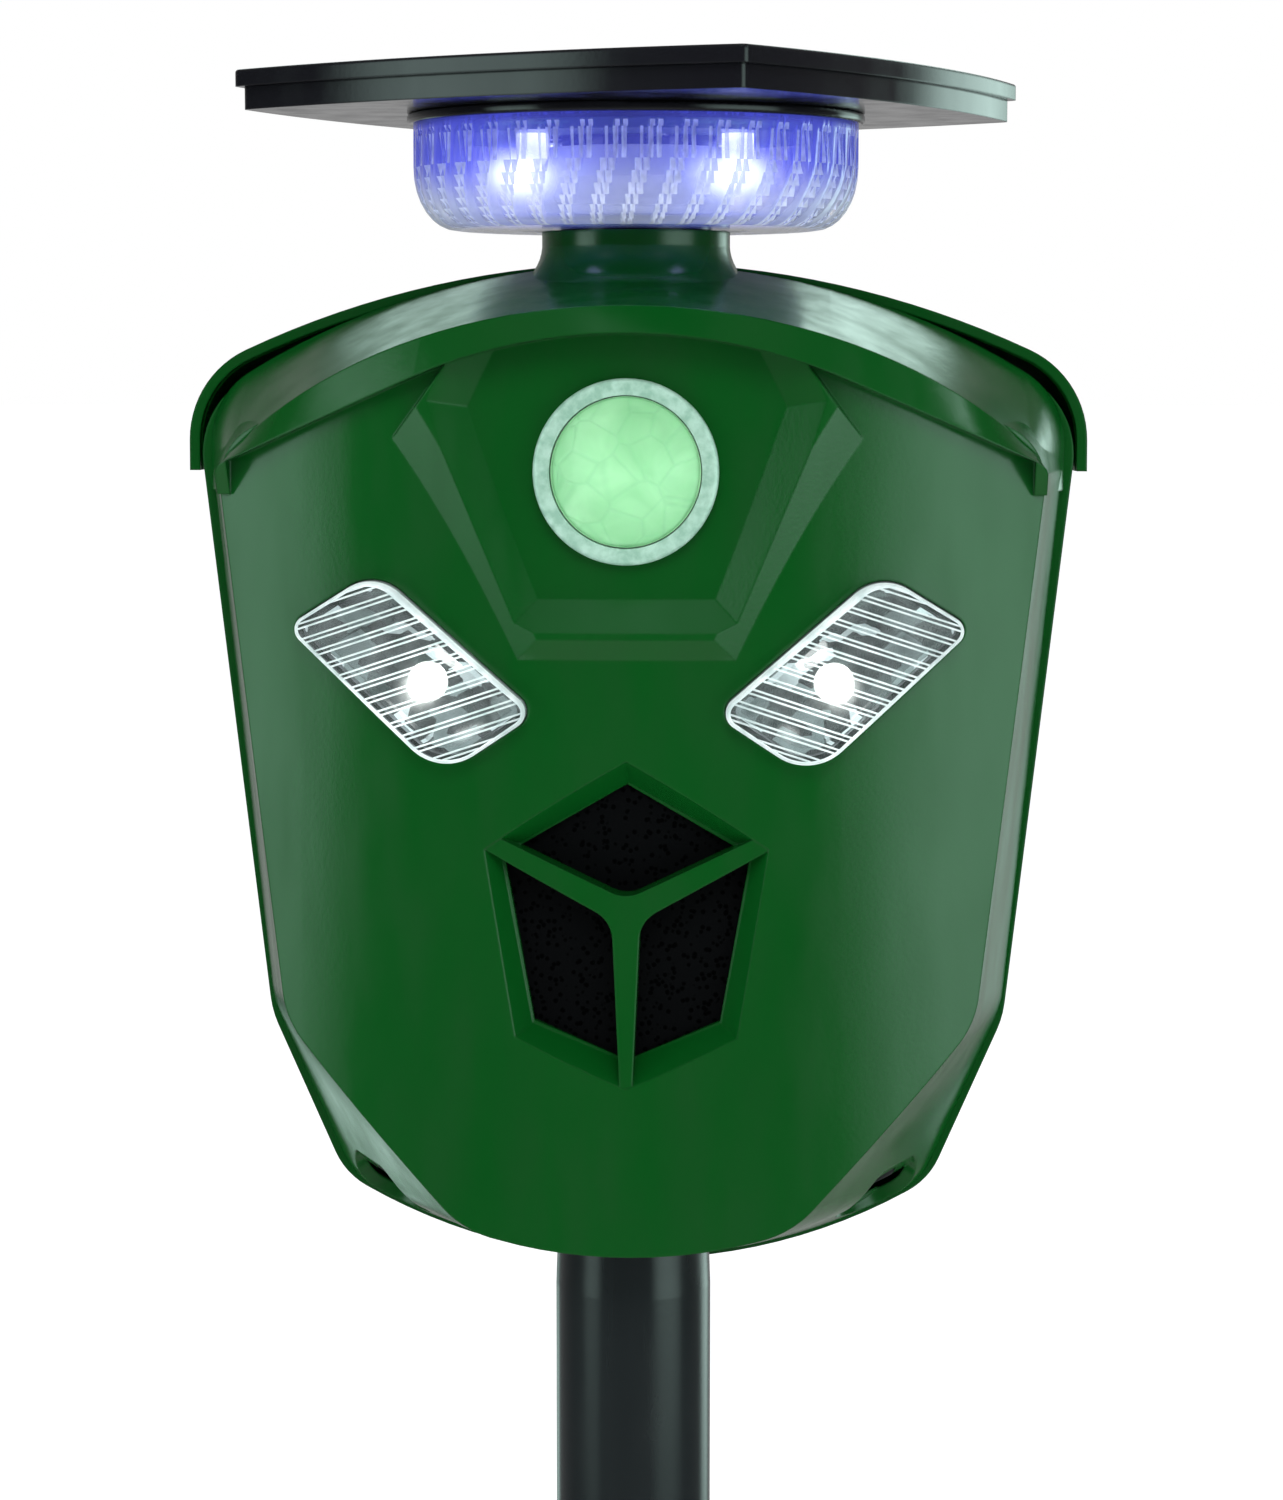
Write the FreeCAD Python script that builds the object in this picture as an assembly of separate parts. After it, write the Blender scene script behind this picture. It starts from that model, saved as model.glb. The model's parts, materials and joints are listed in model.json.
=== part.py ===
"""Garden ultrasonic pest repeller: solar head on a swivel, shield-shaped housing, pole and spike.

Millimetres. +Z is up, the face looks along -Y, and the origin is on the pole's axis at ground
level. The housing and the head are drawn about a datum at the foot of the neck (z = 0 there)
and are lifted to BODY_LEVEL when they are saved.
"""
import FreeCAD, Part
import math
import os

from FreeCAD import Vector

# ---- driving dimensions -------------------------------------------------------------------
BODY_LEVEL = 360.0        # foot of the neck above the ground
PARTING_Y = 10.0          # plane where the front and rear mouldings meet
NECK_Y = 10.0             # swivel axis
WALL = 2.2                # moulded wall
GAP = 0.3                 # clearance between neighbouring parts

# face: a tall drum surface, with a sharp edge to the side walls
FACE_Y = -26.0            # foremost line of the face
FACE_R = 135.0            # plan radius of the face

# neck and head
NECK_R = 15.0
NECK_TOP = 2.8
NECK_FOOT = -10.5
NECK_FLARE = 5.0           # how far the foot of the neck spreads
NECK_FLARE_FOOT = -6.0
SPIGOT_R = 12.0
SPIGOT_BORE = 8.0
RUNNING = 0.05            # radial clearance of the swivel
LENS_R = 35.4
LENS_FLAT_R = 28.8
LENS_BOTTOM = 3.1
LENS_TOP = 19.6
LENS_WALL = 1.8
COLLAR_R = 36.4
FLANGE_R = 15.5
FLANGE_THICK = 1.4
COLLAR_SCREW_RING = 13.9
TRAY_BOTTOM = 21.1
TRAY_TOP = 24.6
RIM_TOP = 27.2
PANEL_CORNER_R = 64.1     # axis to a corner of the panel
PANEL_BOW = 5.1           # how far each side bulges
PANEL_TURN = 16.4         # rest angle of the corner nearest the face
TRAY_INSET = 1.1

# pole
POLE_R = 12.5
POLE_WALL = 1.8
POLE_TOP = -131.2         # top of the pole inside its socket, from the datum
POLE_NECKED = 194.0       # the tube grows slightly thinner above this height
POLE_TAPER = 7.0          # length of the taper
POLE_JOINT = 105.0        # joint between the two tubes, above the ground
SPIKE_SHOULDER = 14.0
SPIKE_TIP = -135.0

# motion sensor
PIR_Z = -34.2
PIR_RING_R = 14.1
PIR_DOME_R = 11.4

# rear
REAR_Y = 42.0             # rear wall
REAR_ROUND = 7.0
HOOD_LIP = -35.2          # lower edge of the rain hood
HOOD_REAR_Y = 45.4
HOOD_WALL = 1.7
HOOD_SCREW_X = 30.0
HOOD_SCREW_Z = -27.0
SCREW_SPOTS = [(54.0, -48.0), (41.0, -120.0)]
SCREW_SEAT = 22.0
BOARD_FRONT = 29.4
BOARD_BACK = 31.0
BOARD_SPOTS = [(-38.5, -45.0), (38.5, -45.0), (38.5, -81.0), (-38.5, -81.0)]
DOOR = [(-33.0, -88.6), (33.0, -88.6), (33.0, -142.0), (-33.0, -142.0)]
DOOR_RADII = [4.0] * 4
DOOR_SEAT = 1.7
DOOR_SCREW_Z = -86.6
KNOB_X = -20.0
KNOB_Z = -60.0
SHAFT_R = 3.0
USB_X = 18.0
USB_Z = -60.0
STRAP_X = 29.4


def at(x, y, z):
    return Vector(x, y, z)


def fuse(shapes):
    """One solid from several that touch or overlap."""
    first = shapes[0]
    joined = first.fuse(shapes[1:]) if len(shapes) > 1 else first
    return joined.removeSplitter()


def cylinder(radius, low, high, x=0.0, y=0.0):
    return Part.makeCylinder(radius, high - low, at(x, y, low))


def ring(outer, inner, low, high, x=0.0, y=0.0):
    return cylinder(outer, low, high, x, y).cut(cylinder(inner, low - 1, high + 1, x, y))


def rod(radius, start, end):
    """Round bar from start to end."""
    axis = end - start
    return Part.makeCylinder(radius, axis.Length, start, axis)


def block(low, high):
    size = high - low
    return Part.makeBox(size.x, size.y, size.z, low)


def mirrored(shape):
    return shape.mirror(at(0, 0, 0), at(1, 0, 0))


# ---- outlines in planes across Y ----------------------------------------------------------
def unit(dx, dz):
    length = math.hypot(dx, dz)
    return dx / length, dz / length


def line_crossing(p, d, q, e):
    """Where p + s d meets q + t e."""
    det = d[0] * e[1] - d[1] * e[0]
    s = ((q[0] - p[0]) * e[1] - (q[1] - p[1]) * e[0]) / det
    return p[0] + s * d[0], p[1] + s * d[1]


def offset_corners(points, grow):
    """Corners of a clockwise polygon in (x, z), seen from the front, grown outwards."""
    count = len(points)
    sides = []
    for i in range(count):
        p, q = points[i], points[(i + 1) % count]
        dx, dz = unit(q[0] - p[0], q[1] - p[1])
        sides.append(((p[0] - dz * grow, p[1] + dx * grow), (dx, dz)))
    corners = []
    for i in range(count):
        (p, d), (q, e) = sides[i - 1], sides[i]
        corners.append(line_crossing(p, d, q, e))
    return corners


def rounded_polygon(points, radii, y, grow=0.0):
    """Closed wire in the plane at y, with each corner rounded, grown outwards by grow."""
    corners = offset_corners(points, grow)
    count = len(corners)
    starts, ends, middles = [], [], []
    for i in range(count):
        radius = max(radii[i] + grow, 0.05)
        corner = corners[i]
        before = unit(corners[i - 1][0] - corner[0], corners[i - 1][1] - corner[1])
        after = unit(corners[(i + 1) % count][0] - corner[0], corners[(i + 1) % count][1] - corner[1])
        half = math.acos(before[0] * after[0] + before[1] * after[1]) / 2
        reach = radius / math.tan(half)
        bisector = unit(before[0] + after[0], before[1] + after[1])
        depth = radius / math.sin(half) - radius
        starts.append((corner[0] + before[0] * reach, corner[1] + before[1] * reach))
        ends.append((corner[0] + after[0] * reach, corner[1] + after[1] * reach))
        middles.append((corner[0] + bisector[0] * depth, corner[1] + bisector[1] * depth))
    edges = []
    for i in range(count):
        a, m, b = starts[i], middles[i], ends[i]
        edges.append(Part.Arc(at(a[0], y, a[1]), at(m[0], y, m[1]), at(b[0], y, b[1])).toShape())
        c = starts[(i + 1) % count]
        edges.append(Part.LineSegment(at(b[0], y, b[1]), at(c[0], y, c[1])).toShape())
    return Part.Wire(edges)


def plate(wire, thickness):
    """A flat wire across Y given thickness towards +Y."""
    return Part.Face(wire).extrude(at(0, thickness, 0))


def loft(wires, ruled=True):
    return Part.makeLoft(wires, True, ruled)


def circle_line_round(centre_z, big, p, d, radius, inside_sign):
    """Centre of a rounding tangent to a circle on the Z axis and to a line.

    The line runs from p along d. inside_sign says on which side of it the outline's inside is.
    """
    nx, nz = -d[1] * inside_sign, d[0] * inside_sign
    px, pz = p[0] + nx * radius, p[1] + nz * radius
    fx, fz = px, pz - centre_z
    b = fx * d[0] + fz * d[1]
    c = fx * fx + fz * fz - (big - radius) ** 2
    root = math.sqrt(b * b - c)
    options = [(px + t * d[0], pz + t * d[1]) for t in (-b - root, -b + root)]
    return [o for o in options if o[0] > 0]


def shield(y, top, side, slant, bottom, corners, inset=0.0):
    """Shield outline: bowed top, long sides, slanted cheeks and a bowed bottom.

    top and bottom are (z, radius). side and slant are two points each, going down. corners are
    the roundings at the shoulder, the cheek and the chin.
    """
    top_r = top[1] - inset
    top_c = top[0] - top[1]
    low_r = bottom[1] - inset
    low_c = bottom[0] + bottom[1]
    ds = unit(side[1][0] - side[0][0], side[1][1] - side[0][1])
    dc = unit(slant[1][0] - slant[0][0], slant[1][1] - slant[0][1])
    ps = (side[0][0] + ds[1] * inset, side[0][1] - ds[0] * inset)
    pc = (slant[0][0] + dc[1] * inset, slant[0][1] - dc[0] * inset)
    r1, r2, r3 = [max(r - inset, 0.4) for r in corners]
    # shoulder rounding
    c1 = max(circle_line_round(top_c, top_r, ps, ds, r1, -1), key=lambda o: o[1])
    k = unit(c1[0], c1[1] - top_c)
    t1 = (k[0] * top_r, top_c + k[1] * top_r)
    m1 = unit(k[0] - ds[1], k[1] + ds[0])
    e1 = (c1[0] - ds[1] * r1, c1[1] + ds[0] * r1)
    # cheek rounding between the side and the slant
    c2 = line_crossing((ps[0] + ds[1] * r2, ps[1] - ds[0] * r2), ds,
                       (pc[0] + dc[1] * r2, pc[1] - dc[0] * r2), dc)
    s2 = (c2[0] - ds[1] * r2, c2[1] + ds[0] * r2)
    e2 = (c2[0] - dc[1] * r2, c2[1] + dc[0] * r2)
    m2 = unit(-ds[1] - dc[1], ds[0] + dc[0])
    # chin rounding
    c3 = min(circle_line_round(low_c, low_r, pc, dc, r3, -1), key=lambda o: o[1])
    j = unit(c3[0], c3[1] - low_c)
    t3 = (j[0] * low_r, low_c + j[1] * low_r)
    s3 = (c3[0] - dc[1] * r3, c3[1] + dc[0] * r3)
    m3 = unit(j[0] - dc[1], j[1] + dc[0])
    right = [
        ("arc", (c1[0] + m1[0] * r1, c1[1] + m1[1] * r1), e1),
        ("line", None, s2),
        ("arc", (c2[0] + m2[0] * r2, c2[1] + m2[1] * r2), e2),
        ("line", None, s3),
        ("arc", (c3[0] + m3[0] * r3, c3[1] + m3[1] * r3), t3),
    ]
    def place(x, z):
        return at(x, y, z)

    edges = [Part.Arc(place(-t1[0], t1[1]), place(0, top_c + top_r), place(*t1)).toShape()]
    spot = t1
    for kind, middle, end in right:
        if kind == "arc":
            edges.append(Part.Arc(place(*spot), place(*middle), place(*end)).toShape())
        else:
            edges.append(Part.LineSegment(place(*spot), place(*end)).toShape())
        spot = end
    edges.append(Part.Arc(place(*t3), place(0, low_c - low_r), place(-t3[0], t3[1])).toShape())
    spot = t3
    starts = [t1, e1, s2, e2, s3]
    for (kind, middle, _), end in zip(reversed(right), reversed(starts)):
        a, b = place(-spot[0], spot[1]), place(-end[0], end[1])
        if kind == "arc":
            edges.append(Part.Arc(a, place(-middle[0], middle[1]), b).toShape())
        else:
            edges.append(Part.LineSegment(a, b).toShape())
        spot = end
    return Part.Wire(edges)


def outline_parting(y, inset=0.0, top=(-3.0, 122.0)):
    return shield(y, top, ((68.9, -32.0), (60.2, -117.0)), ((58.2, -125.4), (47.2, -150.5)),
                  (-164.5, 90.0), (14.0, 16.0, 12.0), inset)


def outline_front(y, inset=0.0):
    return shield(y, (-13.5, 94.0), ((60.1, -36.0), (51.2, -114.0)), ((46.4, -124.5), (28.2, -144.6)),
                  (-154.4, 105.0), (8.0, 17.0, 14.0), inset)


def outline_rear(y, inset=0.0):
    """Rear moulding, a little larger than the front one where they meet."""
    t = (y - PARTING_Y) / (REAR_Y - PARTING_Y)
    draft = 1.6 * t
    return shield(y, (-5.2 - draft, 138.0), ((70.3 - draft, -32.0), (60.7 - draft, -117.0)),
                  ((59.3 - draft, -125.4), (48.4 - draft, -150.5)), (-165.0 + 2 * draft, 90.0),
                  (14.0, 16.0, 12.0), inset)


def outline_hood(y, inset=0.0):
    t = (y - PARTING_Y) / (HOOD_REAR_Y - PARTING_Y)
    draft = 1.4 * t
    return shield(y, (-2.0 - 2 * draft, 150.0), ((72.2 - draft, -20.0), (72.4 - draft, -60.0)),
                  ((68.0, -100.0), (48.0, -120.0)), (-130.0, 150.0), (16.0, 20.0, 20.0), inset)


def round_rear(solid, y, radius):
    """Rounds every edge of the flat end at y."""
    edges = [e for e in solid.Edges if abs(e.BoundBox.YMin - y) < 1e-4 and abs(e.BoundBox.YMax - y) < 1e-4]
    return solid.makeFillet(radius, edges)


# ---- housing ------------------------------------------------------------------------------
def drum(radius, low=-200.0, high=40.0):
    """Tall cylinder behind a surface that is concentric with the face."""
    return Part.makeCylinder(radius, high - low, at(0, FACE_Y + FACE_R, low))


def face_y(x, lift=0.0):
    """Depth of the face, or of a surface lift in front of it, at x."""
    return FACE_Y + FACE_R - math.sqrt((FACE_R + lift) ** 2 - x * x)


BROW_TILT = 0.78          # how far the brow's edge runs back for each unit it drops
BROW_SIDE = 38.2          # the brow's sides end this far below the datum
CROWN_TOP = -2.0          # top of the front moulding in the parting plane


def cap_wire(place, radius, half_width, corner, foot, slope=None):
    """Closed cap outline: bowed top, rounded corners, straight sides down to foot.

    place(x, v) puts a point in space, v counts up from the top of the bow. The bow is one arc,
    or, where a slope in degrees is given, an arc that runs out into straight lines.
    """
    if slope is None:
        cx = half_width - corner
        cv = math.sqrt((radius - corner) ** 2 - cx * cx) - radius
        k = unit(cx, cv + radius)
        touch = (k[0] * radius, k[1] * radius - radius)
        bend_x = touch[0] / 2
    else:
        k = (math.sin(math.radians(slope)), math.cos(math.radians(slope)))
        bend_x = radius * k[0]
        run = (half_width - corner - bend_x + corner * k[0]) / k[1]
        touch = (bend_x + run * k[1], radius * (k[1] - 1.0) - run * k[0])
        cx, cv = touch[0] - corner * k[0], touch[1] - corner * k[1]

    def bow(x):
        return (x, math.sqrt(radius * radius - x * x) - radius)

    m = unit(k[0] + 1.0, k[1])
    middle = (cx + m[0] * corner, cv + m[1] * corner)

    def side(sign):
        def spot(point):
            return place(sign * point[0], point[1])
        if slope is None:
            flank_edge = Part.Arc(spot(bow(bend_x)), spot(bow((bend_x + touch[0]) / 2)), spot(touch))
        else:
            flank_edge = Part.LineSegment(spot(bow(bend_x)), spot(touch))
        return [flank_edge.toShape(), Part.Arc(spot(touch), spot(middle), spot((half_width, cv))).toShape(),
                Part.LineSegment(spot((half_width, cv)), spot((half_width, foot))).toShape()]

    right, left = side(1), side(-1)
    crown = Part.Arc(place(-bend_x, bow(bend_x)[1]), place(0, 0), place(bend_x, bow(bend_x)[1])).toShape()
    base = Part.LineSegment(place(half_width, foot), place(-half_width, foot)).toShape()
    return Part.Wire([crown] + right + [base] + left[::-1])


def brow_wire(y_front, top_z, radius, half_width, corner, inset=0.0, slope=None):
    """Cap outline in a plane that leans back downwards, as the brow's edge does."""
    lean = math.hypot(1.0, BROW_TILT)

    def place(x, v):
        z = top_z + (v - inset) / lean
        return at(x, y_front + (top_z - z) * BROW_TILT, z)

    foot = inset - (top_z + BROW_SIDE) * lean
    return cap_wire(place, radius - inset, half_width - inset, max(corner - inset, 0.5), foot, slope)


def crown_wire(y, inset=0.0):
    """The same cap outline in the parting plane."""
    top = CROWN_TOP - inset

    def place(x, v):
        return at(x, y, top + v)

    return cap_wire(place, 125.0 - inset, 68.9 - inset, 14.0 - inset, -BROW_SIDE - top)


def brow_edge_wire(back=0.0, inset=0.0):
    """Lower edge of the brow: an arc that runs out into straight lines."""
    return brow_wire(-30.6 + back, -13.4, 67.0, 64.4, 3.0, inset, 28.7)


def under_brow(grow=0.0):
    """Everything below the brow's lower edge, run straight from front to back, short of its corners."""
    sheet = Part.Face(brow_edge_wire(inset=-grow))
    half = 62.4 + grow
    prism = sheet.translated(at(0, -40, 0)).extrude(at(0, 100, 0))
    return prism.common(block(at(-half, -80, -60), at(half, 60, 0)))


def brow_cap(inset=0.0):
    """Top of the front moulding: bowed crown with a bevelled brow that overhangs the face."""
    back = inset * math.hypot(1.0, BROW_TILT)
    edge = brow_edge_wire(back, inset)
    crest = brow_wire(-27.8 + back, -9.2, 83.0, 63.4, 5.0, inset)
    rear = crown_wire(PARTING_Y, inset)
    return fuse([loft([edge, crest]), loft([crest, rear])])


def front_body(inset=0.0):
    """Front moulding below the brow: drafted sides behind the drum-shaped face."""
    wires = [outline_front(-30.0, inset), outline_parting(PARTING_Y, inset, top=(-5.0, 120.0))]
    return loft(wires).common(drum(FACE_R - inset))


def half_space(point, normal, size=160.0):
    """Big block whose one face passes through point; the solid is behind the normal."""
    box = Part.makeBox(size, size, size, at(-size / 2, -size / 2, -size))
    turn = FreeCAD.Rotation(at(0, 0, 1), normal)
    box.Placement = FreeCAD.Placement(point, turn).multiply(box.Placement)
    return box


def facet_block(base, top, centre):
    """Convex block bounded by one plane through each side of base and the matching top corner."""
    count = len(base)
    solid = None
    for i in range(count):
        a, b, c = base[i], base[(i + 1) % count], top[i]
        normal = (b - a).cross(c - a)
        normal.normalize()
        if normal.dot(centre - a) > 0:
            normal = normal * -1.0
        piece = half_space(a, normal)
        solid = piece if solid is None else solid.common(piece)
    return solid


# sensor frame, as half widths and heights: corners at the top and at the foot of the V
FRAME_FOOT = ((35.8, -29.2), (16.6, -62.7))
FRAME_CREST = ((32.0, -24.4), (15.3, -59.5))
FRAME_LIP = ((30.3, -23.5), (15.0, -58.5))
FRAME_FLOOR = ((24.2, -24.4), (13.5, -53.5))
FRAME_LIFT = 2.0          # height of the frame's crest above the face
FRAME_SINK = 1.6          # depth of the sensor's floor below the face


def on_drum(points, lift):
    return [at(x, face_y(x, lift), z) for x, z in points]


def above_ledge(low, low_lift, high, high_lift):
    """Space above a sloping ledge that runs round the drum from one height and lift to another."""
    slope = (high_lift - low_lift) / (high - low)
    span = 60.0
    r_low = FACE_R + low_lift - span * slope
    r_high = FACE_R + low_lift + span * slope
    cone = Part.makeCone(r_low, r_high, 2 * span, at(0, FACE_Y + FACE_R, low - span))
    if slope > 0:
        return cone
    return block(at(-60, -60, low - span), at(60, 10, low + span)).cut(cone)


def flank(a, b, c, inner):
    """Half space behind the plane through a, b and c, on the same side as inner."""
    normal = (b - a).cross(c - a)
    normal.normalize()
    if normal.dot(inner - a) > 0:
        normal = normal * -1.0
    return half_space(a, normal)


def v_block(base, base_lift, top, top_lift, inner):
    """V-shaped block with a sloping facet on each flank, each upper corner and along the foot."""
    solid = above_ledge(base[1][1], base_lift, top[1][1], top_lift)
    for side in (-1, 1):
        a, b = on_drum([(side * base[0][0], base[0][1]), (side * base[1][0], base[1][1])], base_lift)
        c, = on_drum([(side * top[0][0], top[0][1])], top_lift)
        solid = solid.common(flank(a, b, c, inner))
        # upper corner: the facet turns in towards the brow
        turn = at(-side * 10.0, 0, 14.0)
        solid = solid.common(flank(a, a + turn, c, inner))
    return solid


def sensor_frame():
    """Raised V-shaped frame round the motion sensor, cut off by the brow, before its floor is sunk."""
    solid = v_block(FRAME_FOOT, 0.0, FRAME_CREST, FRAME_LIFT, at(0, -10, -40))
    solid = solid.common(drum(FACE_R + FRAME_LIFT))
    below = block(at(-60, -80, -70), at(60, 60, 2.0 - BROW_SIDE))
    return solid.common(fuse([under_brow(0.5), below])).common(block(at(-60, -40, -70), at(60, 0, -13)))


def sensor_pocket():
    """What is cut out of the frame: bevelled inner walls down to a floor behind the face."""
    well = v_block(FRAME_FLOOR, -FRAME_SINK, FRAME_LIP, FRAME_LIFT, at(0, -60, -40))
    return well.cut(drum(FACE_R - FRAME_SINK)).cut(brow_cap().cut(under_brow()))


BEAK = [(0.0, -78.3), (22.6, -91.4), (17.3, -121.4), (0.0, -128.8), (-17.3, -121.4), (-22.6, -91.4)]
BEAK_BEVEL = 3.3
BEAK_DEPTH = 4.6
BEAK_BACK = 5.4            # thickness of the moulding round the sound opening
RIB_UPPER = ((17.4, -91.2), (0.0, -99.4))
RIB_LOWER = ((18.7, -93.7), (2.2, -102.7))


def beak_rib():
    """Y-shaped rib, flush with the face, that divides the sound opening in three."""
    def upper(x):
        slope = (RIB_UPPER[0][1] - RIB_UPPER[1][1]) / RIB_UPPER[0][0]
        return RIB_UPPER[1][1] + slope * abs(x)

    def lower(x):
        slope = (RIB_LOWER[0][1] - RIB_LOWER[1][1]) / (RIB_LOWER[0][0] - RIB_LOWER[1][0])
        return RIB_LOWER[1][1] + slope * (abs(x) - RIB_LOWER[1][0])

    reach = 27.0
    stem_top, stem_foot = 2.2, 0.9
    points = [(0.0, upper(0)), (reach, upper(reach)), (reach, lower(reach)), (stem_top, lower(stem_top)),
              (stem_foot, -131.0), (-stem_foot, -131.0), (-stem_top, lower(stem_top)),
              (-reach, lower(reach)), (-reach, upper(reach))]
    wire = Part.makePolygon([at(x, -34.0, z) for x, z in points + points[:1]])
    solid = plate(wire, 16.0)
    edges = []
    for edge in solid.Edges:
        a, b = edge.Vertexes[0].Point, edge.Vertexes[-1].Point
        along_y = abs(a.x - b.x) < 1e-6 and abs(a.z - b.z) < 1e-6
        if along_y and abs(a.x) < 3.0 and a.z > -110.0:
            edges.append(edge)
    solid = solid.makeFillet(5.0, edges)
    return solid.common(drum(FACE_R - 0.15)).cut(drum(FACE_R - BEAK_BACK))


def beak_surround():
    """Thick rim behind the face, deep enough for the bevels of the sound opening."""
    prism = plate(rounded_polygon(BEAK, [3.0] * 6, -40.0, 2.4), 40.0)
    return prism.common(drum(FACE_R - 1.0)).cut(drum(FACE_R - BEAK_BACK))


def speaker_seat():
    """Round wall that the loudspeaker's basket sits in."""
    centre = at(0, -22.5, SPEAKER_Z)
    foot = at(0, -14.8, SPEAKER_Z)
    wall = rod(24.4, centre, foot).cut(rod(SPEAKER_R + 0.1, centre, foot))
    return wall.common(front_body(1.0))


def beak_cut():
    """Bevelled recess and the opening behind it, without the rib."""
    outer = offset_corners(BEAK, 0.9)
    base = [at(x * 1.03, FACE_Y - 1.0, z) for x, z in outer]
    top = [at(x, FACE_Y - 1.0 + BEAK_DEPTH + 1.4, z) for x, z in offset_corners(BEAK, -BEAK_BEVEL)]
    recess = facet_block(base, top, at(0, -60, -104))
    recess = recess.common(block(at(-40, -45, -140), at(40, FACE_Y + BEAK_DEPTH, -70)))
    through = plate(rounded_polygon(BEAK, [2.0] * 6, FACE_Y - 2.0, -BEAK_BEVEL), 24.0)
    return fuse([recess, through]).cut(beak_rib())


EYE = [(38.5, -49.3), (53.0, -58.4), (28.3, -80.8), (13.5, -70.8)]
EYE_RADII = [7.0, 2.2, 8.0, 2.6]


def eye_prism(grow, y_low, y_high):
    return plate(rounded_polygon(EYE, EYE_RADII, y_low, grow), y_high - y_low)


EYE_PROUD = 2.2
EYE_SUNK = 2.6


def eye_lens():
    """Clear cover of the right-hand lamp, bowed with the face and hollow behind."""
    slab = drum(FACE_R + EYE_PROUD).cut(drum(FACE_R + EYE_PROUD - 1.6))
    front = eye_prism(0.0, -40.0, 10.0).common(slab)
    skirt = eye_prism(0.0, -40.0, 10.0).cut(eye_prism(-1.2, -41.0, 11.0))
    skirt = skirt.common(drum(FACE_R + EYE_PROUD)).cut(drum(FACE_R - EYE_SUNK))
    return fuse([front, skirt])


def eye_reflector():
    """Bright tub behind the lens, tapering back to the lamp's LED."""
    y_front, y_back = -17.0, -9.0
    outer = loft([rounded_polygon(EYE, EYE_RADII, y_front, -1.5),
                  rounded_polygon(EYE, EYE_RADII, y_back, -5.0)])
    inner = loft([rounded_polygon(EYE, EYE_RADII, y_front - 0.01, -2.3),
                  rounded_polygon(EYE, EYE_RADII, y_back - 1.0, -5.8)])
    tub = outer.cut(inner)
    extension = eye_prism(-1.5, -40.0, y_front).cut(eye_prism(-2.3, -41.0, y_front + 1))
    extension = extension.common(drum(FACE_R - EYE_SUNK + 2.0))
    tub = fuse([tub, extension])
    hole = rod(3.2, at(EYE_LED_X, -30, EYE_LED_Z), at(EYE_LED_X, 0, EYE_LED_Z))
    return tub.cut(hole)


EYE_LED_X = 31.8
EYE_LED_Z = -67.5


def eye_led():
    """Bright LED on its square base."""
    base = block(at(EYE_LED_X - 2.6, -9.6, EYE_LED_Z - 2.6), at(EYE_LED_X + 2.6, -8.2, EYE_LED_Z + 2.6))
    base = base.common(rod(3.0, at(EYE_LED_X, -20, EYE_LED_Z), at(EYE_LED_X, 0, EYE_LED_Z)))
    dome = Part.makeSphere(2.0, at(EYE_LED_X, -9.6, EYE_LED_Z))
    return fuse([base, dome.cut(block(at(0, -9.0, -100), at(60, 0, 0)))])


def eye_board():
    """Star board that carries one LED."""
    return rod(8.0, at(EYE_LED_X, -8.2, EYE_LED_Z), at(EYE_LED_X, -6.6, EYE_LED_Z))


def neck():
    """Neck with a concave flare at its foot, about the swivel axis."""
    r = NECK_R
    foot_radius = r + NECK_FLARE
    outline = Part.Wire([
        Part.LineSegment(at(0, 0, NECK_FOOT), at(foot_radius, 0, NECK_FOOT)).toShape(),
        Part.LineSegment(at(foot_radius, 0, NECK_FOOT), at(foot_radius, 0, NECK_FLARE_FOOT)).toShape(),
        Part.Arc(at(foot_radius, 0, NECK_FLARE_FOOT), at(r + 1.4, 0, -3.4), at(r, 0, 0.4)).toShape(),
        Part.LineSegment(at(r, 0, 0.4), at(r, 0, NECK_TOP)).toShape(),
        Part.LineSegment(at(r, 0, NECK_TOP), at(0, 0, NECK_TOP)).toShape(),
        Part.LineSegment(at(0, 0, NECK_TOP), at(0, 0, NECK_FOOT)).toShape(),
    ])
    solid = Part.Face(outline).revolve(at(0, 0, 0), at(0, 0, 1), 360)
    solid.translate(at(0, NECK_Y, 0))
    return solid


def neck_bore():
    return cylinder(SPIGOT_R + RUNNING, -60.0, 20.0, 0.0, NECK_Y)


def groove_cut():
    """Shadow groove behind the front moulding: full width at the top, closing to a point."""
    profile = Part.makePolygon([
        at(0, PARTING_Y - 1.3, 20.0), at(0, PARTING_Y + 1.0, 20.0), at(0, PARTING_Y + 1.0, -72.0),
        at(0, PARTING_Y - 0.1, -72.0), at(0, PARTING_Y - 1.3, -52.0), at(0, PARTING_Y - 1.3, 20.0)])
    return Part.Face(profile).extrude(at(200, 0, 0)).translated(at(-100, 0, 0))


PORT_SPOT = Vector(39.6, 1.0, -151.0)
PORT_AXIS = Vector(0.60, -0.30, -0.74)
PORT_R = 4.7


def port_scoop():
    """Shallow dished seat at a lower corner."""
    axis = Vector(PORT_AXIS)
    axis.normalize()
    start = PORT_SPOT - axis * 1.2
    return Part.makeCone(8.0, 13.0, 14.0, start, axis)


def port_hole():
    axis = Vector(PORT_AXIS)
    axis.normalize()
    start = PORT_SPOT - axis * 14.0
    return Part.makeCylinder(PORT_R, 30.0, start, axis)


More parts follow.
